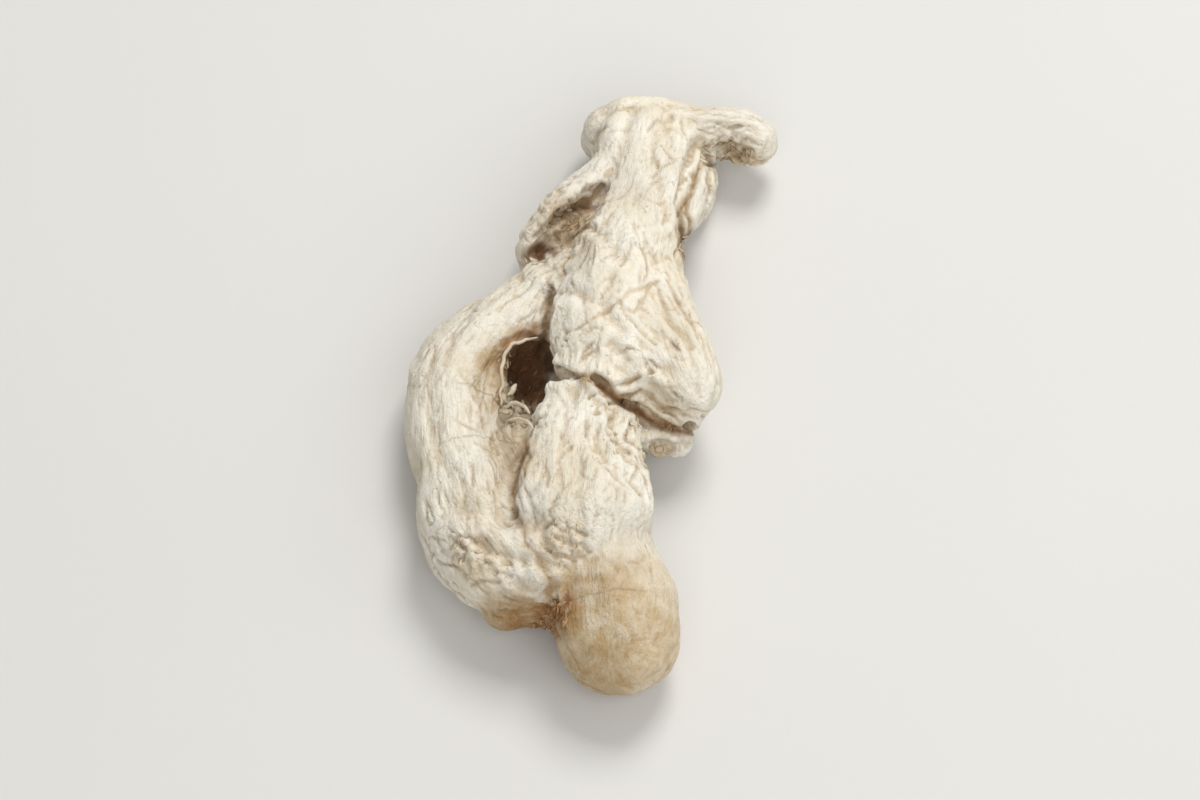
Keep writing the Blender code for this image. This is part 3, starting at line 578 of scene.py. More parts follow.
def section(gap, sharpness, lip_height, lip_place, lip_spread):
    """How deep a groove is and how high the lip beside it, in half widths from its middle."""
    lip = lip_height * np.exp(-((gap - lip_place) ** 2) / lip_spread)
    return np.exp(-(gap**sharpness)), lip


def along_and_off(points, line):
    """How far along a bent line each point lies, how it lies off the line, and how far off."""
    line = np.array(line, float)
    nearest = np.full(len(points), 1e9)
    along_it = np.zeros(len(points))
    off_it = np.zeros_like(points)
    done = 0.0
    for start, end in zip(line[:-1], line[1:]):
        reach = end - start
        share = clamp((points - start) @ reach / (reach @ reach))
        off = points - start - share[:, None] * reach
        gap = np.linalg.norm(off, axis=1)
        closer = gap < nearest
        nearest[closer] = gap[closer]
        along_it[closer] = done + share[closer] * np.linalg.norm(reach)
        off_it[closer] = off[closer]
        done += np.linalg.norm(reach)
    return along_it, off_it, nearest


def beside_line(spots, line, half_width):
    """How far each spot lies from a bent line, in half widths."""
    return along_and_off(spots, line)[2] / half_width


def apply_modifiers(piece):
    """Replaces the piece's mesh with what its modifiers make of it."""
    graph = bpy.context.evaluated_depsgraph_get()
    graph.update()
    mesh = bpy.data.meshes.new_from_object(piece.evaluated_get(graph))
    piece.modifiers.clear()
    piece.data = mesh


def new_piece(name, mesh):
    piece = bpy.data.objects.new(name, mesh)
    bpy.context.scene.collection.objects.link(piece)
    return piece


def fine_copy_of_root():
    """A closed, even, finer copy of the root's solid."""
    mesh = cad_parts[ROOT].data.copy()
    bm = bmesh.new()
    bm.from_mesh(mesh)
    bmesh.ops.remove_doubles(bm, verts=bm.verts, dist=MERGE_GAP * MM)
    bm.to_mesh(mesh)
    bm.free()
    skin = new_piece("skin", mesh)
    even = skin.modifiers.new("even", "REMESH")
    even.mode = "VOXEL"
    even.voxel_size = SKIN_VOXEL * MM
    soft = skin.modifiers.new("soft", "SMOOTH")
    soft.factor = SKIN_SMOOTHING
    soft.iterations = SKIN_SMOOTH_TURNS
    apply_modifiers(skin)
    bm = bmesh.new()
    bm.from_mesh(skin.data)
    bmesh.ops.triangulate(bm, faces=bm.faces)
    bm.to_mesh(skin.data)
    bm.free()
    return skin


def read_numbers(items, name, count, kind=np.float64):
    values = np.empty(len(items) * count, kind)
    items.foreach_get(name, values)
    return values.reshape(-1, count)


def write_points(mesh, points):
    mesh.vertices.foreach_set("co", (points * MM).astype(np.float32).ravel())
    mesh.update()


def add_at(count, places, vectors):
    """Sums the vectors that belong to each place."""
    return np.stack([np.bincount(places, vectors[:, axis], count) for axis in range(3)], 1)


def point_normals(points, faces):
    first, second, third = (points[faces[:, corner]] for corner in range(3))
    flat = np.cross(second - first, third - first)
    total = sum(add_at(len(points), faces[:, corner], flat) for corner in range(3))
    return total / (np.linalg.norm(total, axis=1)[:, None] + 1e-12)


def ties_of(edges, count):
    """How many edges meet at each point."""
    return np.bincount(edges[:, 0], minlength=count) + np.bincount(edges[:, 1], minlength=count)


def mean_around(values, edges, ties):
    """The mean of the values at each point's neighbours."""
    first, second = edges[:, 0], edges[:, 1]
    count = len(values)
    total = add_at(count, first, values[second]) + add_at(count, second, values[first])
    return total / ties[:, None]


def averaged(values, edges, turns):
    """The values of each point blended with its neighbours' the given number of times."""
    ties = ties_of(edges, len(values))
    for _ in range(turns):
        values = (values + mean_around(values, edges, ties)) / 2
    return values


def draw_lines(points, normals, lines, sign):
    """Lowers or raises the skin along the lines, where it faces the camera, and says where."""
    spots = seen_from_camera(points) + wobble_at(points, "lines")
    strength = spread_at(points, "lines")
    front = facing(normals, *FACING_LINES)
    height = np.zeros(len(points))
    drawn = np.zeros(len(points))
    for depth, half_width, line in lines.values():
        profile, lip = section(beside_line(spots, line, half_width), *LINE_SECTION)
        height += depth * (lip * (sign < 0) + sign * profile)
        drawn = np.maximum(drawn, profile * clamp(depth / LINE_FULL_DEPTH))
    moved = points + normals * (height * front * strength)[:, None]
    return moved, drawn * front * clamp(strength)


def lengthwise(points, normals):
    """The direction along the nearest lobe at each point, lying in the skin."""
    nearest = np.full(len(points), 1e9)
    direction = np.zeros_like(points)
    for spine in SPINES.values():
        spine = np.array(spine, float)
        for start, end in zip(spine[:-1], spine[1:]):
            along = end - start
            share = clamp((points - start) @ along / (along @ along))
            gap = np.linalg.norm(points - start - share[:, None] * along, axis=1)
            closer = gap < nearest
            nearest[closer] = gap[closer]
            direction[closer] = along / np.linalg.norm(along)
    direction -= normals * (direction * normals).sum(1)[:, None]
    return direction / (np.linalg.norm(direction, axis=1)[:, None] + 1e-9)


def grown_lengths(points, normals, edges, length):
    """How long each edge of the skin wants to be once it has grown."""
    first, second = edges[:, 0], edges[:, 1]
    along = averaged(lengthwise(points, normals), edges, GROWTH_HEADING_TURNS)
    heading = (points[second] - points[first]) / length[:, None]
    share = (heading * along[first]).sum(1) ** 2
    spots = seen_from_camera(points) + wobble_at(points, "growth")
    front = facing(normals, *FACING_GROWTH)
    extra = np.zeros(len(points))
    for right, up, radius, amount in GROWTH_PLACES.values():
        extra += amount * front * within(spots, right, up, radius, GROWTH_HARDNESS)
    patchy = spread_at(points, "growth")
    growth = patchy[first] * (GROWTH_ALONG * share + GROWTH_ACROSS * (1 - share)) + extra[first]
    return length * (1 + np.maximum(growth, 0.0))


def grow_skin(points, edges, faces):
    """Lets the skin grow over the flesh, so that it buckles into wrinkles."""
    count = len(points)
    normals = point_normals(points, faces)
    first, second = edges[:, 0], edges[:, 1]
    ties = ties_of(edges, count)
    length = np.linalg.norm(points[second] - points[first], axis=1)
    grown = grown_lengths(points, normals, edges, length)
    rng = np.random.default_rng(SEED)
    moved = points + normals * rng.normal(0, UNEVENNESS, count)[:, None]
    speed = np.zeros_like(points)
    for turn in range(GROWTH_TURNS):
        ramp = min(1.0, (turn + 1) / (GROWTH_TURNS * GROWTH_RAMP))
        target = length + (grown - length) * ramp
        reach = moved[second] - moved[first]
        now = np.linalg.norm(reach, axis=1)
        pull = reach / now[:, None] * (now - target)[:, None]
        force = add_at(count, first, pull) - add_at(count, second, pull)
        offset = moved - points
        bend = mean_around(offset, edges, ties) - offset
        force -= BENDING * (mean_around(bend, edges, ties) - bend) + FLESH_HOLD * offset
        speed = (speed + GROWTH_STEP * force) * GROWTH_DRAG
        fast = np.linalg.norm(speed, axis=1)
        speed *= np.minimum(1.0, LONGEST_MOVE / (fast + 1e-12))[:, None]
        moved = moved + speed
    return moved


def lobe_start(index):
    """Where the noise of a lobe's wrinkles is read, so that no two lobes have the same ones."""
    return (LOBE_STARTS[0] * index, *LOBE_STARTS[1:])


def lengthwise_wrinkles(points, normals):
    """Thin sharp folds that run along each lobe, with smooth skin between them."""
    told = [along_and_off(points, spine) for spine in SPINES.values()]
    gaps = np.array([gap for _, _, gap in told])
    weights = np.exp(-LOBE_BLEND * (gaps - gaps.min(axis=0)))
    weights /= weights.sum(axis=0)
    scale, reach = WRINKLE_BEND
    height = np.zeros(len(points))
    for index, (along_it, off_it, _) in enumerate(told):
        slow = (along_it / WRINKLE_SPACING / WRINKLE_STRETCH)[:, None] * ALONG_DRIFT
        place = off_it / WRINKLE_SPACING + slow
        for at in np.flatnonzero(weights[index] > LOBE_LEAST):
            spot = Vector(place[at]) + Vector(lobe_start(index))
            bent = spot + noise.noise_vector(spot * scale) * reach
            off_line = abs(noise.noise(bent)) / WRINKLE_WIDTH
            height[at] -= weights[index][at] * max(0.0, 1 - off_line) ** 2
    amount = spread_at(points, "wrinkles") * calmness(seen_from_camera(points))
    return points + normals * (height * amount * WRINKLE_HEIGHT)[:, None]


def fold_path(start, heading, length, points, normals, tree, rng):
    """A gently bending line that lies on the skin."""
    path = [points[start]]
    bend = rng.normal(0, FOLD_FIRST_BEND)
    at = start
    for _ in range(int(length / FOLD_STEP)):
        normal = normals[at]
        heading = heading + np.cross(normal, heading) * bend
        heading = heading - normal * (heading @ normal)
        heading = heading / np.linalg.norm(heading)
        bend = FOLD_BEND_KEPT * bend + rng.normal(0, FOLD_BEND_ADDED)
        spot = path[-1] + heading * FOLD_STEP
        at = tree.find(spot)[1]
        path.append(spot - normals[at] * ((spot - points[at]) @ normals[at]))
    return np.array(path)


def calmness(spots):
    """How much of the folding each point keeps."""
    kept = np.ones(len(spots))
    for right, up, radius, share in CALM_PLACES:
        kept *= 1 - share * within(spots, right, up, radius, CALM_HARDNESS)
    return kept


def tree_of(points):
    """The points in a form in which the nearest ones are found quickly."""
    tree = kdtree.KDTree(len(points))
    for index, point in enumerate(points):
        tree.insert(point, index)
    tree.balance()
    return tree


def fold_shape(path, length, depth, points, tree):
    """Which points a fold reaches, how it tapers there, how deep it is and how high its lips are."""
    share, margin = FOLD_REACH
    reached = tree.find_range(path[len(path) // 2], length * share + margin)
    near = np.array([index for _, index, _ in reached])
    along_it, _, gap = along_and_off(points[near], path)
    taper = np.sqrt(np.sin(math.pi * clamp(along_it / (len(path) * FOLD_STEP))))
    profile, lip = section(gap / (FOLD_HALF_WIDTH + FOLD_WIDENING * depth), *FOLD_SECTION)
    return near, taper, profile, lip


def scattered_folds(points, normals, edges):
    """Short thin folds with soft lips, mostly along the lobes, and where they lie."""
    rng = np.random.default_rng(SEED)
    tree = tree_of(points)
    along = averaged(lengthwise(points, normals), edges, FOLD_HEADING_TURNS)
    busy = spread_at(points, "folds") * calmness(seen_from_camera(points))
    height = np.zeros(len(points))
    drawn = np.zeros(len(points))
    for start in rng.integers(0, len(points), FOLD_COUNT):
        length = rng.uniform(*FOLD_LENGTHS) * rng.uniform(*FOLD_SHORTENING)
        depth = FOLD_DEPTHS[0] + (FOLD_DEPTHS[1] - FOLD_DEPTHS[0]) * rng.random() ** 2
        turn = rng.normal(0, FOLD_TURN)
        aside = np.cross(normals[start], along[start])
        heading = along[start] * math.cos(turn) + aside * math.sin(turn)
        path = fold_path(start, heading, length, points, normals, tree, rng)
        if len(path) < 3:
            continue
        near, taper, profile, lip = fold_shape(path, length, depth, points, tree)
        amount = busy[start] * taper
        height[near] += depth * amount * (lip - profile)
        full = clamp(depth / FOLD_FULL_DEPTH)
        drawn[near] = np.maximum(drawn[near], profile * amount * full)
    return points + normals * np.maximum(height, -FOLD_DEEPEST)[:, None], drawn


def write_skin_places(mesh, points):
    """Tells the material where each point lies along the nearest lobe and off it."""
    told = [along_and_off(points, spine) for spine in SPINES.values()]
    gaps = np.array([gap for _, _, gap in told])
    order = np.sort(gaps, axis=0)
    nearest = gaps.argmin(axis=0)
    places = np.zeros_like(points)
    for index, (along_it, off_it, _) in enumerate(told):
        here = nearest == index
        slow = along_it[here, None] / WRINKLE_STRETCH * ALONG_DRIFT
        places[here] = off_it[here] + slow + lobe_start(index)
    attribute = mesh.attributes.new("skin_place", "FLOAT_VECTOR", "POINT")
    attribute.data.foreach_set("vector", places.astype(np.float32).ravel())
    write_mask(mesh, "sure_place", clamp((order[1] - order[0]) / LOBE_SURE))


def fine_relief(points, normals):
    """Small crumpled relief, too fine for the growth."""
    scale, reach = RELIEF_BEND
    height = np.empty(len(points))
    for at, point in enumerate(points):
        spot = Vector(point) / RELIEF_SIZE
        bent = spot + noise.noise_vector(spot * scale) * reach
        rough = noise.turbulence(bent, RELIEF_OCTAVES, True, amplitude_scale=RELIEF_FADE)
        height[at] = rough - RELIEF_MIDDLE
    amount = spread_at(points, "relief")
    return points + normals * (height * amount * RELIEF_HEIGHT)[:, None]


def keep_above_floor(points):
    """Presses the skin flat where the root rests on the floor."""
    points[:, 2] = np.maximum(points[:, 2], 0.0)
    return points


def write_mask(mesh, name, values):
    mesh.attributes.new(name, "FLOAT", "POINT").data.foreach_set("value", values.astype(np.float32))


def shape_masks(mesh, points, normals, edges):
    """Says for each point how much it is a crease, a ridge or the bottom of a wide fold; creases and
    wide folds take painted shade and dirt.
    """
    near = ((points - averaged(points, edges, NEAR_TURNS)) * normals).sum(1)
    wide = ((points - averaged(points, edges, WIDE_TURNS)) * normals).sum(1)
    write_mask(mesh, "crease", clamp(-near / CREASE_FULL))
    write_mask(mesh, "ridge", clamp(near / RIDGE_FULL))
    write_mask(mesh, "fold", clamp(-wide / WIDE_FULL))


def bent_spots(spots, bend, radius):
    """The spots as a patch of this radius sees them, so that its outline wanders."""
    return spots + bend * min(PATCH_BEND_MOST, PATCH_BEND * radius)


def stain_and_shade_mask(name, spots, bend, front):
    """How strongly each point takes the colour of the named stains and patches, some of it painted
    shade.
    """
    total = np.zeros(len(spots))
    for mask, strength, half_width, line in FOLD_STAINS_AND_SHADE:
        if mask == name:
            gap = beside_line(spots, line, half_width)
            total = np.maximum(total, strength * front * np.exp(-(gap**2)))
    for mask, right, up, radius, strength in PATCHES:
        if mask == name:
            bent = bent_spots(spots, bend, radius)
            patch = within(bent, right, up, radius, PATCH_HARDNESS)
            total = np.maximum(total, strength * front * patch)
    return total


def painted_shade_and_dirt_mask(points, spots, bend, front):
    """How much painted shade and dirt each point takes: along the deepest folds, and low in the
    hollows.
    """
    painted_shade_and_dirt = np.zeros(len(points))
    for strength, half_width, line in SHADE_AND_DIRT_LINES:
        gap = beside_line(spots, line, half_width)
        painted_shade_and_dirt = np.maximum(painted_shade_and_dirt, strength * front * np.exp(-(gap**2)))
    for right, up, radius, top in HOLLOWS_WITH_SHADE_AND_DIRT:
        bent = bent_spots(spots, bend, radius)
        low = clamp((top - points[:, 2]) / HOLLOW_FADE)
        painted_shade_and_dirt = np.maximum(painted_shade_and_dirt, front * within(bent, right, up, radius, HOLLOW_HARDNESS) * low)
    return painted_shade_and_dirt


def colour_masks(mesh, points, normals, edges):
    """Writes what the material has to know of each point: its shape, its stains and patches with their
    painted shade, and its painted shade and dirt.
    """
    shape_masks(mesh, points, normals, edges)
    spots = seen_from_camera(points)
    bend = wobble_at(points, "patches")
    front = facing(normals, *FACING_COLOUR)
    for name in ("tan", "ochre", "rust", "grey"):
        write_mask(mesh, name, stain_and_shade_mask(name, spots, bend, front))
    write_mask(mesh, "painted_shade_and_dirt", painted_shade_and_dirt_mask(points, spots, bend, front))


def feed(tree, value, socket):
    """Links an output to the socket, or sets a plain value on it."""
    if isinstance(value, bpy.types.NodeSocket):
        tree.links.new(value, socket)
    else:
        socket.default_value = value


def mask_node(tree, name):
    node = tree.nodes.new("ShaderNodeAttribute")
    node.attribute_name = name
    return node.outputs["Fac"]


def math_node(tree, operation, *values):
    node = tree.nodes.new("ShaderNodeMath")
    node.operation = operation
    for socket, value in zip(node.inputs, values):
        feed(tree, value, socket)
    return node.outputs[0]


def times(tree, first, second):
    return math_node(tree, "MULTIPLY", first, second)


def least_and_added(tree, pattern, least, added):
    """The least value where the pattern is 0, and more where it is brighter."""
    return math_node(tree, "MULTIPLY_ADD", pattern, added, least)


def mix_colour(tree, share, first, second):
    node = tree.nodes.new("ShaderNodeMix")
    node.data_type = "RGBA"
    node.clamp_factor = True
    for index, value in ((0, share), (6, first), (7, second)):
        feed(tree, value, node.inputs[index])
    return node.outputs[2]


def noise_node(tree, place, scale, detail=3.0, roughness=0.55, distortion=0.0):
    node = tree.nodes.new("ShaderNodeTexNoise")
    feed(tree, scale, node.inputs["Scale"])
    feed(tree, detail, node.inputs["Detail"])
    feed(tree, roughness, node.inputs["Roughness"])
    feed(tree, distortion, node.inputs["Distortion"])
    feed(tree, place, node.inputs["Vector"])
    return node.outputs["Fac"]


def stretched(tree, value, low, high):
    node = tree.nodes.new("ShaderNodeMapRange")
    node.inputs["From Min"].default_value = low
    node.inputs["From Max"].default_value = high
    feed(tree, value, node.inputs["Value"])
    return node.outputs["Result"]


def bump_node(tree, height, strength, distance, normal=None):
    node = tree.nodes.new("ShaderNodeBump")
    node.inputs["Strength"].default_value = strength
    node.inputs["Distance"].default_value = distance
    feed(tree, height, node.inputs["Height"])
    if normal is not None:
        feed(tree, normal, node.inputs["Normal"])
    return node.outputs["Normal"]


def new_material(name):
    """A material with its tree, its shader and the place of a point on the piece."""
    made = bpy.data.materials.new(name)
    made.use_nodes = True
    tree = made.node_tree
    place = tree.nodes.new("ShaderNodeTexCoord").outputs["Object"]
    return made, tree, tree.nodes["Principled BSDF"], place


def grain_group():
    """Fine grain for every material here: a height for its bumps and a roughness to match."""
    group = bpy.data.node_groups.new("fine grain", "ShaderNodeTree")
    sockets = group.interface
    sockets.new_socket("Place", in_out="INPUT", socket_type="NodeSocketVector")
    for name in ("Scale", "Least Roughness", "Added Roughness"):
        sockets.new_socket(name, in_out="INPUT", socket_type="NodeSocketFloat")
    for name in ("Height", "Roughness"):
        sockets.new_socket(name, in_out="OUTPUT", socket_type="NodeSocketFloat")
    given = group.nodes.new("NodeGroupInput").outputs
    told = group.nodes.new("NodeGroupOutput").inputs
    height = noise_node(group, given["Place"], given["Scale"], *GRAIN_NOISE)
    rough = least_and_added(group, height, given["Least Roughness"], given["Added Roughness"])
    feed(group, height, told["Height"])
    feed(group, rough, told["Roughness"])
    return group


def grain_node(tree, grain, place, scale, least, added):
    """The fine grain in one material: its height and its roughness."""
    node = tree.nodes.new("ShaderNodeGroup")
    node.node_tree = grain
    feed(tree, place, node.inputs["Place"])
    feed(tree, scale, node.inputs["Scale"])
    feed(tree, least, node.inputs["Least Roughness"])
    feed(tree, added, node.inputs["Added Roughness"])
    return node.outputs["Height"], node.outputs["Roughness"]


def skin_colour(tree, place, fibre):
    """White on the ridges, tan in the creases, brown in the hollows; the tan and brown there are partly
    painted shade and partly dirt.
    """
    broad = stretched(tree, noise_node(tree, place, *BROAD_NOISE), *BROAD_RANGE)
    mottle = stretched(tree, noise_node(tree, place, *MOTTLE_NOISE), *MOTTLE_RANGE)
    speck = stretched(tree, noise_node(tree, place, *SPECK_NOISE), *SPECK_RANGE)
    colour = mix_colour(tree, broad, CREAM, CHALK)
    colour = mix_colour(tree, times(tree, mottle, MOTTLE_SHADE), colour, SHADE)
    for mask, paint, least, added in LAYERS:
        share = times(tree, mask_node(tree, mask), least_and_added(tree, mottle, least, added))
        colour = mix_colour(tree, share, colour, paint)
    chalk = least_and_added(tree, broad, CHALK_LEAST, CHALK_ADDED)
    chalk = times(tree, mask_node(tree, "ridge"), chalk)
    # Less chalk where the tan and ochre stains and painted shade lie.
    stains_and_shade = math_node(tree, "MAXIMUM", mask_node(tree, "tan"), mask_node(tree, "ochre"))
    chalk = times(tree, chalk, least_and_added(tree, stains_and_shade, 1.0, -CHALK_HIDDEN))
    colour = mix_colour(tree, chalk, colour, CHALK)
    # Painted shade and dirt: dark brown along the deepest folds and low in the hollows.
    colour = mix_colour(tree, mask_node(tree, "painted_shade_and_dirt"), colour, SHADE_AND_DIRT_BROWN)
    colour = mix_colour(tree, times(tree, speck, SPECK_OCHRE), colour, OCHRE)
    thread = times(tree, stretched(tree, fibre, *FIBRE_RANGE), mask_node(tree, "sure_place"))
    return mix_colour(tree, times(tree, thread, FIBRE_SHADE), colour, SHADE)


def skin_material(grain):
    """Chalky skin with fibres along the lobes, small wrinkles and a powdery grain."""
    made, tree, shader, place = new_material("dried ginger skin")
    lobe_place = tree.nodes.new("ShaderNodeAttribute")
    lobe_place.attribute_name = "skin_place"
    fibre = noise_node(tree, lobe_place.outputs["Vector"], *FIBRE_NOISE)
    height, rough = grain_node(tree, grain, place, *SKIN_GRAIN)
    feed(tree, skin_colour(tree, place, fibre), shader.inputs["Base Color"])
    feed(tree, rough, shader.inputs["Roughness"])
    shader.inputs["Specular IOR Level"].default_value = SPECULAR
    fibre = times(tree, times(tree, fibre, mask_node(tree, "sure_place")), FIBRE_RELIEF)
    wrinkle = noise_node(tree, place, *WRINKLE_NOISE)
    soft = bump_node(tree, math_node(tree, "ADD", wrinkle, fibre), *WRINKLE_BUMP)
    feed(tree, bump_node(tree, height, *SKIN_BUMP, soft), shader.inputs["Normal"])
    return made


def make_skin(grain):
    """The skin, with the bits and edges of torn skin that lie on it."""
    skin = fine_copy_of_root()
    mesh = skin.data
    points = read_numbers(mesh.vertices, "co", 3) / MM
    edges = read_numbers(mesh.edges, "vertices", 2, np.int64)
    faces = read_numbers(mesh.polygons, "vertices", 3, np.int64)
    points = grow_skin(points, edges, faces)
    points = lengthwise_wrinkles(points, point_normals(points, faces))
    points, folded = scattered_folds(points, point_normals(points, faces), edges)
    points, creased = draw_lines(points, point_normals(points, faces), CREASES, -1)
    points, _ = draw_lines(points, point_normals(points, faces), RIMS, 1)
    points = fine_relief(points, point_normals(points, faces))
    points = keep_above_floor(points)
    write_points(mesh, points)
    torn = torn_material(grain)
    make_torn_bits(points, point_normals(points, faces), torn)
    make_torn_edges(points, torn)
    colour_masks(mesh, points, point_normals(points, faces), edges)
    # Where lines and folds were drawn, for their ochre of painted shade and dirt.
    write_mask(mesh, "drawn", np.maximum(creased, folded))
    write_skin_places(mesh, points)
    mesh.materials.clear()
    mesh.materials.append(skin_material(grain))
    mesh.shade_smooth()
    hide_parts(ROOT)
    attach(skin, "root")


def torn_material(grain):
    """Torn skin and fibres, cream to ochre from bit to bit."""
    made, tree, shader, place = new_material("torn ginger skin")
    patch = stretched(tree, noise_node(tree, place, *TORN_NOISE), *BROAD_RANGE)
    height, rough = grain_node(tree, grain, place, *SKIN_GRAIN)
    brown = mask_node(tree, "brown")
    colour = mix_colour(tree, patch, CREAM, SHADE)
    colour = mix_colour(tree, brown, colour, OCHRE)
    colour = mix_colour(tree, least_and_added(tree, brown, *TORN_RUST), colour, RUST)
    feed(tree, colour, shader.inputs["Base Color"])
    feed(tree, rough, shader.inputs["Roughness"])
    feed(tree, bump_node(tree, height, *TORN_BUMP), shader.inputs["Normal"])
    return made


def add_bit(bm, place, normal, length, slimness, rng):
    """Adds one ragged flat bit that lies on the skin at the place, with one side lifted."""
    made = bmesh.ops.create_uvsphere(bm, u_segments=8, v_segments=4, radius=0.5)
    heading = np.cross(normal, rng.normal(0, 1, 3))
    heading = heading / np.linalg.norm(heading)
    lift = rng.uniform(*BIT_LIFTS)
    upward = normal * math.cos(lift) + np.cross(normal, heading) * math.sin(lift)
    aside = np.cross(upward, heading)
    shift = Vector(rng.uniform(0, BIT_NOISE_RANGE, 3))
    for vertex in made["verts"]:
        rough = noise.noise(vertex.co * BIT_RAGGED_SCALE + shift)
        ragged = vertex.co * (1 + BIT_RAGGED * rough)
        bend = BIT_BEND * ragged.x * ragged.x
        spot = heading * (ragged.x * length) + aside * (ragged.y * length * slimness)
        spot = spot + upward * (ragged.z * BIT_THICKNESS + bend * length)
        vertex.co = Vector((place + spot) * MM)
    return made["verts"]


def make_torn_bits(points, normals, material):
    """Bits of torn skin and fibre round the gap, the scar, the split bud and the torn ends."""
    rng = np.random.default_rng(SEED)
    spots = seen_from_camera(points)
    seen = normals @ VIEW_BACK > BIT_LEAST_FACING
    bm = bmesh.new()
    browns = []
    for right, up, radius, count, length, slimness, brown in TORN_PLACES:
        near = np.linalg.norm(spots - (right, up), axis=1) < radius
        for at in rng.choice(np.flatnonzero(near & seen), count):
            size = length * rng.uniform(*BIT_SIZES)
            verts = add_bit(bm, points[at], normals[at], size, slimness, rng)
            browns += [brown * rng.uniform(*BIT_BROWNS)] * len(verts)
    bmesh.ops.recalc_face_normals(bm, faces=bm.faces)
    mesh = bpy.data.meshes.new("torn bits")
    bm.to_mesh(mesh)
    bm.free()
    finish_torn("torn_bits", mesh, clamp(np.array(browns)), material)


def finish_torn(name, mesh, browns, material):
    """Makes a piece of torn skin from the mesh, fixed to the root."""
    write_mask(mesh, "brown", browns)
    mesh.shade_smooth()
    mesh.materials.clear()
    mesh.materials.append(material)
    piece = new_piece(name, mesh)
    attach(piece, "root")


def even_steps(line):
    """Places at even steps along the line, which wobble a little right and up."""
    line = np.array(line, float)
    gaps = np.linalg.norm(np.diff(line, axis=0), axis=1)
    reach = np.concatenate([[0], np.cumsum(gaps)])
    steps = np.linspace(0, reach[-1], int(reach[-1] / EDGE_STEP) + 2)
    path = np.stack([np.interp(steps, reach, line[:, axis]) for axis in range(2)], 1)
    places = np.column_stack([path, np.zeros(len(path))])
    return path + wobble_at(places, "edges")


def edge_path(line, points, spots):
    """The line laid on the skin as the camera sees it; it bridges hollows instead of dropping in."""
    path = even_steps(line)
    nearness = (points - VIEW_MIDDLE) @ VIEW_BACK
    laid = []
    for spot in path:
        beside = np.linalg.norm(spots - spot, axis=1) < EDGE_BESIDE
        top = nearness[beside].max() if beside.any() else -VIEW_DISTANCE
        laid.append(top if not laid else max(top, laid[-1] - EDGE_FALL))
    for index in range(len(laid) - 2, -1, -1):
        laid[index] = max(laid[index], laid[index + 1] - EDGE_FALL)
    laid = np.convolve(np.pad(laid, 1, mode="edge"), EDGE_EVENING, mode="valid") - EDGE_SINK
    share = (VIEW_DISTANCE - laid) / VIEW_DISTANCE
    across = (path[:, 0] * share)[:, None] * VIEW_ACROSS + (path[:, 1] * share)[:, None] * VIEW_UP
    return VIEW_MIDDLE + across + laid[:, None] * VIEW_BACK


def make_torn_edges(points, material):
    """Thin edges of torn skin round the gap."""
    spots = seen_from_camera(points)
    curve = bpy.data.curves.new("torn edges", "CURVE")
    curve.dimensions = "3D"
    curve.bevel_depth = MM
    curve.bevel_resolution = 2
    curve.use_fill_caps = True
    for half_width, brown, line in TORN_EDGES:
        path = edge_path(line, points, spots)
        spline = curve.splines.new("POLY")
        spline.points.add(len(path) - 1)
        for index, (point, place) in enumerate(zip(spline.points, path)):
            share = index / (len(path) - 1)
            point.co = (*(place * MM), 1)
            swell = math.sin(math.pi * share) ** 0.5
            point.radius = half_width * (EDGE_TIP + (1 - EDGE_TIP) * swell)
    edges = new_piece("torn_edges", curve)
    graph = bpy.context.evaluated_depsgraph_get()
    mesh = bpy.data.meshes.new_from_object(edges.evaluated_get(graph))
    bpy.data.objects.remove(edges)
    finish_torn("torn_edges", mesh, edge_browns(mesh), material)


def edge_browns(mesh):
    """How brown each point of the torn edges is: as brown as the nearest of the lines."""
    spots = seen_from_camera(read_numbers(mesh.vertices, "co", 3) / MM)
    gaps = [along_and_off(spots, line)[2] for _, _, line in TORN_EDGES]
    browns = np.array([brown for _, brown, _ in TORN_EDGES])
    return browns[np.argmin(gaps, axis=0)]


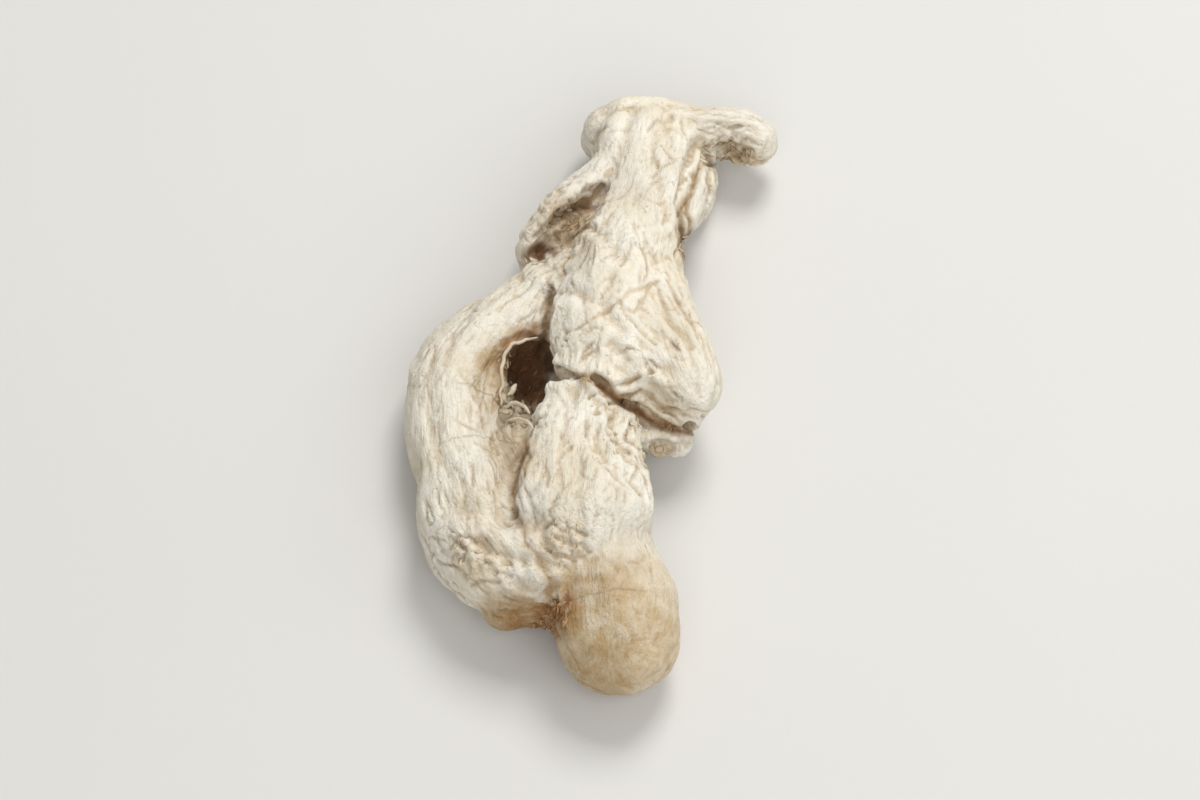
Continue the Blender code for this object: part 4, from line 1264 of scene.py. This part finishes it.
def floor_material(grain):
    made, tree, shader, place = new_material("pale floor")
    cloud = noise_node(tree, place, *CLOUD_NOISE)
    height, rough = grain_node(tree, grain, place, *FLOOR_GRAIN)
    feed(tree, mix_colour(tree, cloud, FLOOR_DARK, FLOOR_PALE), shader.inputs["Base Color"])
    feed(tree, rough, shader.inputs["Roughness"])
    feed(tree, bump_node(tree, height, *FLOOR_BUMP), shader.inputs["Normal"])
    return made


def make_floor(grain):
    bm = bmesh.new()
    bmesh.ops.create_grid(bm, x_segments=1, y_segments=1, size=FLOOR_HALF_WIDTH)
    mesh = bpy.data.meshes.new("floor")
    bm.to_mesh(mesh)
    bm.free()
    floor = new_piece("floor", mesh)
    mesh.materials.append(floor_material(grain))


def aim(thing, at):
    thing.rotation_mode = "QUATERNION"
    thing.rotation_quaternion = (Vector(at) - thing.location).to_track_quat("-Z", "Y")


def soft_light(name, place, size, power, colour):
    """A square light that shines at the root."""
    lamp = bpy.data.lights.new(name, "AREA")
    lamp.size = size
    lamp.energy = power
    lamp.color = colour
    light = bpy.data.objects.new(name, lamp)
    light.location = place
    bpy.context.scene.collection.objects.link(light)
    aim(light, (0, 0, 0))


def make_light():
    for light in LIGHTS:
        soft_light(*light)
    world = bpy.data.worlds.new("studio")
    world.use_nodes = True
    sky = world.node_tree.nodes["Background"]
    sky.inputs["Color"].default_value = SKY_COLOUR
    sky.inputs["Strength"].default_value = SKY_STRENGTH
    bpy.context.scene.world = world
    bpy.context.scene.view_settings.view_transform = "Standard"


def make_camera():
    lens = bpy.data.cameras.new("camera")
    lens.lens = LENS
    lens.sensor_width = SENSOR_WIDTH
    camera = bpy.data.objects.new("camera", lens)
    camera.location = (VIEW_MIDDLE + VIEW_BACK * VIEW_DISTANCE) * MM
    bpy.context.scene.collection.objects.link(camera)
    aim(camera, (VIEW_MIDDLE + VIEW_ACROSS * AIM_RIGHT) * MM)
    bpy.context.scene.camera = camera


noise.seed_set(SEED)
fine_grain = grain_group()
make_camera()
make_light()
make_floor(fine_grain)
make_skin(fine_grain)
